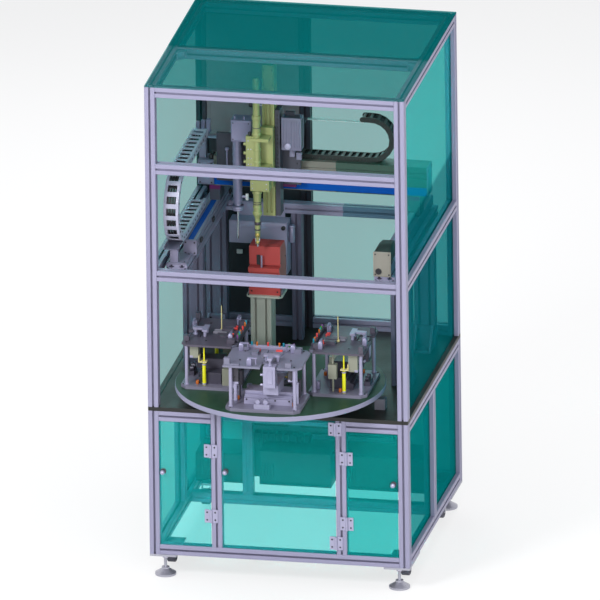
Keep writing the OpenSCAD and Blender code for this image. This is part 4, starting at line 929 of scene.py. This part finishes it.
def add_probe_details():
    rings = ring_stack(PROBE_X, PROBE_Y, [(z, 7, 18.4) for z in range(1322, 1531, 26)])
    finish("probe_rings", rings, "x_carriage", PROBE)
    neck = ring_stack(PROBE_X, PROBE_Y, [(1290, 3, 23.4), (1296, 4, 23), (1306, 5, 13)])
    finish("probe_neck_rings", neck, "x_carriage", HINGE)
    face = panel((-279, 43, 1571), (-204, 45.2, 1650), FRONT, 4, 0.8)
    finish("probe_box_face", [face], "x_carriage", PROBE)
    spots = grid((-272, -211), (43,), (1578, 1643), FRONT)
    add_screws("probe_box_screws", 2.4, 1.8, spots, "x_carriage")
    arm = soften(rod((-236, PROBE_Y, 1340), "x", 22, 5, 20), 0.6)
    finish("elbow_arm", [arm], "x_carriage", HINGE)
    finish("elbow_nut", ring_stack(-226, PROBE_Y, [(1330, 20, 6.5)]), "x_carriage", WHITE)
    foot = panel((-300, 84, 1296), (-262, 92, 1304), UP, 2, 1)
    finish("probe_side_bracket", [foot], "x_carriage", PROBE)


# Screw feeder and supply box


def add_feeder_details():
    pin = rod((-164, 25, 1096), "z", 50, 3.4, 20)
    draw_out(pin, UP, (0, 0, 3))
    finish("feed_pin", [soften(pin, 0.6)], "frame", JIG_METAL)
    liner = panel((-186, 37.4, 1082), (-172, 39.2, 1122), FRONT, 3, 1, 0.5, 1)
    finish("feed_slot_liner", [liner], "frame", BLACK)
    lid = panel((-203, 50, 1150), (-106, 118, 1157), UP, 10, -1, 0.6, 1)
    finish("feeder_lid", [lid], "frame", FEEDER)
    spots = grid((-204, -105), (27,), (980, 1048), FRONT) + grid((-95,), (44, 130), (980, 1090), RIGHT)
    add_screws("feeder_screws", 3.2, 1.6, spots, "frame")
    brackets = [panel((x, 40, 965), (x + 14, 104, 983), UP, 3, 1) for x in (-219, -103)]
    finish("feeder_brackets", brackets, "frame", DRIVE)
    add_screws("head_plate_screws", 3.6, 3.2, grid((-216, -93), (22, 120), (965,), UP), "frame")


def add_supply_box_details():
    lid = panel((-332, 247.4, 1152), (-114, 250.2, 1174), FRONT, 3, -0.8)
    finish("supply_lid", [lid], "frame", SUPPLY)
    add_collars("supply_knob", 8, 12, [((-124, 250, 1158), FRONT)], "frame", BLACK, 0.4)
    outlet = ring_stack(-100, 285, [(1096, 52, 11), (1148, 8, 13)])
    finish("supply_outlet", outlet, "frame", JIG_METAL)
    neck = soften(rod((-108, 285, 1120), "x", 10, 6, 18), 0.5, 1)
    finish("outlet_neck", [neck], "frame", JIG_METAL)


# Rotary table and its jigs

DISC_X, DISC_Y = -15, -370
JIG_R = 245
JIG_TURNS = (0, -90, 90)
SIDE_JIG_TURNS = (-90, 90)
PLATE_TOP = 951
BASE_TOP = 782
PILLARS_X = (-123, 123)


def round_disc(count, offset, radius, z, way=None):
    """Spots at equal turns round the disc's axis, which point one way or out from the axis."""
    spots = []
    for index in range(count):
        turn = index * 2 * math.pi / count + offset
        out = (math.cos(turn), math.sin(turn), 0)
        spots.append(((DISC_X + radius * out[0], DISC_Y + radius * out[1], z), way or out))
    return spots


def on_jigs(name, pieces, material, turns=JIG_TURNS):
    """Puts pieces made round a jig's middle on each jig; local -Y points out of the table."""
    axis = Matrix.Translation(metres((DISC_X, DISC_Y, 0)))
    out = Matrix.Translation(metres((0, -JIG_R, 0)))
    matrices = [axis @ Matrix.Rotation(math.radians(turn), 4, "Z") @ out for turn in turns]
    finish(name, copies(join(name, pieces), matrices), "turntable", material)


def add_table_details():
    add_screws("disc_screws", 5, 3, round_disc(12, 0, 66, 770, UP), "turntable")
    cap = rod((DISC_X, DISC_Y, 774), "z", 8, 52, 40)
    sink(cap, 8, -3, UP)
    finish("hub_cap", [soften(cap, 1)], "turntable", JIG_PLATE)
    union = ring_stack(DISC_X, DISC_Y, [(781, 26, 26), (807, 6, 30), (813, 18, 18)])
    finish("rotary_union", union, "turntable", JIG_METAL)
    add_collars("union_fittings", 4, 11, round_disc(8, 0.2, 26, 794), "turntable", BRASS)


def add_jig_screws():
    heads = grid(PILLARS_X, (-90, 90), (PLATE_TOP,), UP)
    heads += [((x, y, PLATE_TOP), UP) for x, y in ((-96, -40), (-96, 60), (96, -20), (-62, 90), (70, 92))]
    on_jigs("top_plate_screws", spread(cap_screw(4, 2.4), heads), SCREW)
    feet = grid(PILLARS_X, (-104, 104), (BASE_TOP,), UP) + grid((-70, -20, 40, 94), (-52,), (800,), FRONT)
    on_jigs("base_plate_screws", spread(cap_screw(3.4, 2.2), feet), SCREW)
    ends = grid(PILLARS_X, (-90, 90), (BASE_TOP,), UP) + grid(PILLARS_X, (-90, 90), (943,), DOWN)
    on_jigs("post_collars", spread(collar(9.5, 5), ends), JIG_METAL)


def add_jig_cylinder_details():
    x, y = 26, -74
    cover = panel((x - 9, y - 22.4, 880), (x + 13, y - 19.8, 938), FRONT, 3, 1.2, 0.7)
    on_jigs("cylinder_covers", [cover], JIG_METAL)
    marks = [soften(block((x - 24.5, y - 9, z), (x - 22.5, y + 1, z + 6)), 0.5, 1) for z in (886, 926)]
    on_jigs("cylinder_marks", marks, BLACK)
    ports = spread(collar(5, 12), grid((x - 23,), (y - 6,), (872, 912), LEFT))
    on_jigs("cylinder_ports", ports, JIG_METAL)
    on_jigs("rod_nuts", spread(collar(9, 5), grid((x,), (y,), (949, 967), UP)), JIG_METAL)
    seams = [soften(block((-79, -52.6, z), (103, -51.6, z + 3)), 0.3, 1) for z in (796, 808)]
    on_jigs("guide_seams", seams, JIG_BLOCK)


def add_swing_clamps():
    parts = []
    for x, y, way in ((-112, 66, 1), (86, 72, -1), (-50, -92, 1)):
        body = block((x - 9, y - 8, PLATE_TOP), (x + 9, y + 8, 974))
        draw_out(body, UP, (0, 0, 6))
        narrow(body, UP, (0.7, 0.7, 1))
        left, right = sorted((x - way * 6, x + way * 30))
        arm = narrow(block((left, y - 5, 978), (right, y + 5, 984)), (way, 0, 0), (1, 0.6, 0.8))
        tip = rod((x + way * 25, y, 967), "z", 24, 3, 16)
        parts += [soften(body, 0.9), soften(arm, 0.9), soften(tip, 0.5, 1)]
    on_jigs("swing_clamps", parts, PROBE)
    pin = soften(rod((-24, 16, 1001), "z", 100, 1.8, 14), 0.5, 1)
    foot = soften(rod((-24, 16, 954), "z", 8, 6, 20))
    on_jigs("locating_pins", [pin, foot], CREAM, SIDE_JIG_TURNS)


# Colour, material and the X of its rings on each air manifold
FITTINGS = (("cyan", CYAN, (-78, 44)), ("orange", ORANGE, (-58, 28)), ("green", GREEN, (66,)),
            ("purple", PURPLE, (84,)), ("red", SIGNAL_RED, (-16,)))


def add_air_fittings():
    bar = panel((-92, 92, PLATE_TOP), (100, 106, 963), UP, 2, 0.6)
    on_jigs("air_manifolds", [bar], JIG_BLOCK)
    for colour, material, places in FITTINGS:
        parts = []
        for x in places:
            neck = rod((x, 99, 966), "z", 8, 3.2, 16)
            ring = rod((x, 99, 973), "z", 8, 3.8, 20)
            sink(ring, 1.3, 1.4, UP)
            parts += [soften(neck, 0.4, 1), soften(ring, 0.7)]
        on_jigs(colour + "_fittings", parts, material)


def add_jig_blocks():
    strap = narrow(block((104.4, -40, 784), (116, -28, 836)), UP, (0.6, 1, 1))
    on_jigs("guide_straps", [soften(strap, 1.2)], BLACK)
    tips = []
    for x, y in ((112, -52), (-112, -8), (60, 84)):
        tip = rod((x, y, 789), "z", 14, 6, 18)
        sink(tip, 1.6, 2, UP)
        tips.append(soften(tip))
    on_jigs("base_fittings", tips, ORANGE)
    stands = [panel((x - 9, y - 9, BASE_TOP), (x + 9, y + 9, 812), UP, 3, 2, 1)
              for x, y in ((-86, 84), (60, 66))]
    on_jigs("work_rests", stands, PROBE)
    nests = [panel((x - 12, 58, PLATE_TOP), (x + 12, 74, 960), UP, 2.4, 3, 0.7) for x in (-50, 34)]
    on_jigs("work_nests", nests, SIGNAL_RED)
    rails = [panel((x - 3, -10, PLATE_TOP), (x + 3, 44, 957), UP, 1.2, -3, 0.7) for x in (-13, 11)]
    on_jigs("work_rails", rails, DRIVE)


def add_sensor_details():
    caps = [panel((left, -79, low), (right, -66, low + 9), DOWN, 3, 1)
            for left, right, low in ((-124.4, -95.6, 868), (95.6, 120.4, 888))]
    on_jigs("sensor_caps", caps, JIG_METAL)
    holes = spread(collar(3.4, 1), grid((-110, 108), (-78.2,), (896, 930), FRONT))
    on_jigs("sensor_holes", holes, BLACK)
    brackets = []
    for x in (-118, 118):
        brackets.append(panel((x - 12, -40, 874), (x + 12, -12, 878), UP, 2, -0.8, 0.6, 1))
        brackets.append(panel((x - 12, -44, 874), (x + 12, -40.2, 900), FRONT, 3, 0.6, 0.6, 1))
    on_jigs("damper_brackets", brackets, CREAM, SIDE_JIG_TURNS)
    rings = spread(collar(8.4, 5), grid((-118, 118), (-24,), (784, 862), UP))
    on_jigs("damper_rings", rings, JIG_METAL)


# Lower cabinet

CONTROL_FRONT = 299.6


def add_cabinet_details():
    ducts = [panel((-286, 255, z), (286, CONTROL_FRONT, z + 26), FRONT, 3, 1, 1) for z in (340, 560)]
    finish("wire_ducts", ducts, "frame", DRIVE)
    rails = [panel((-280, 292, z), (280, CONTROL_FRONT, z + 20), FRONT, 4, 2, 0.5, 1) for z in (300, 420)]
    finish("din_rails", rails, "frame", HINGE)
    breakers = []
    for x in range(-270, -27, 27):
        lever = narrow(block((x + 8, 232, 294), (x + 14, 241.5, 306)), FRONT, (0.7, 1, 0.6))
        breakers += [panel((x, 240, 268), (x + 22, 292, 330), FRONT, 4, 1, 1), soften(lever, 0.7)]
    finish("breakers", breakers, "frame", JIG_PLATE)
    lids = [panel((-244, 177, 389), (-104, 180, 531), FRONT, 8, -1, 1),
            panel((-52, 207, 379), (88, 210, 521), FRONT, 8, -1, 1)]
    finish("box_lids", lids, "frame", TOOL)
    spots = grid((-236, -112), (178,), (397, 523), FRONT) + grid((-44, 80), (208,), (387, 513), FRONT)
    spots += grid((-286, 286), (300,), (160, 540), FRONT)
    add_screws("panel_screws", 4, 2.4, spots, "frame")


def add_cabinet_units():
    """Supplies on the foot of the control panel, and the rail and post in front of them."""
    units = []
    for left, right, high in ((-450, -270, 280), (-205, 70, 300), (110, 440, 300)):
        unit = block((left, 132, 166), (right, CONTROL_FRONT, high))
        sink(unit, 8, 2, FRONT)
        sink(unit, 10, -2, UP)
        units.append(soften(unit, 2))
        for x in range(left + 14, left + 62, 12):
            slit = narrow(block((x, 131, 190), (x + 6, 134.6, 250)), FRONT, (0.6, 1, 0.95))
            units.append(soften(slit, 0.4, 1))
    finish("cabinet_supplies", units, "frame", CONTROL)
    rail = panel((-459.7, 92, 95.3), (459.7, 131, 134.7), FRONT, 15.5, 4, 1)
    post = panel((-262, 92, 135), (-223, 131, 669.6), FRONT, 15.5, 4, 1)
    finish("cabinet_cross_rail", [rail, post], "frame", PROFILE)


# The box at the front end of the right guide


def add_guide_box():
    face = panel((358, -420.5, 1231), (426, -417.2, 1330), FRONT, 5, 0.8)
    finish("guide_face", [face], "frame", GUIDE_COVER)
    bore = rod((378, -421.4, 1252), "y", 3, 12, 28)
    sink(bore, 2, 1, FRONT)
    finish("guide_bore", [soften(bore, 0.5, 1)], "frame", BLACK)
    shell = block((362, -417, 1286), (424, -320, 1330))
    draw_out(shell, UP, (6, 14, 16))
    narrow(shell, UP, (0.7, 0.6, 1))
    # The shell is near black as painted shade, for its top, which lies in shadow
    finish("guide_box", [soften(shell, 1.4)], "frame", CHAIN_DARK)
    spots = grid((366, 418), (-420.5,), (1240, 1320), FRONT)
    add_screws("guide_face_screws", 2.8, 2, spots, "frame")


for add in (add_hinge_screws, add_knob_collars, add_gussets, add_joint_bolts, add_foot_details,
            add_wheel_hubs, add_rear_cover, add_chains, add_module_details, add_post_feet,
            add_bridge_details, add_driver_motor, add_x_slider_foot, add_z_module_details,
            add_driver_details, add_probe_details, add_feeder_details, add_supply_box_details,
            add_table_details, add_jig_screws, add_jig_cylinder_details, add_swing_clamps,
            add_air_fittings, add_jig_blocks, add_sensor_details, add_cabinet_details,
            add_cabinet_units, add_guide_box):
    add()

bpy.context.scene.view_settings.view_transform = "Standard"
add_camera()
add_lights()
add_floor()
finish_nodes()
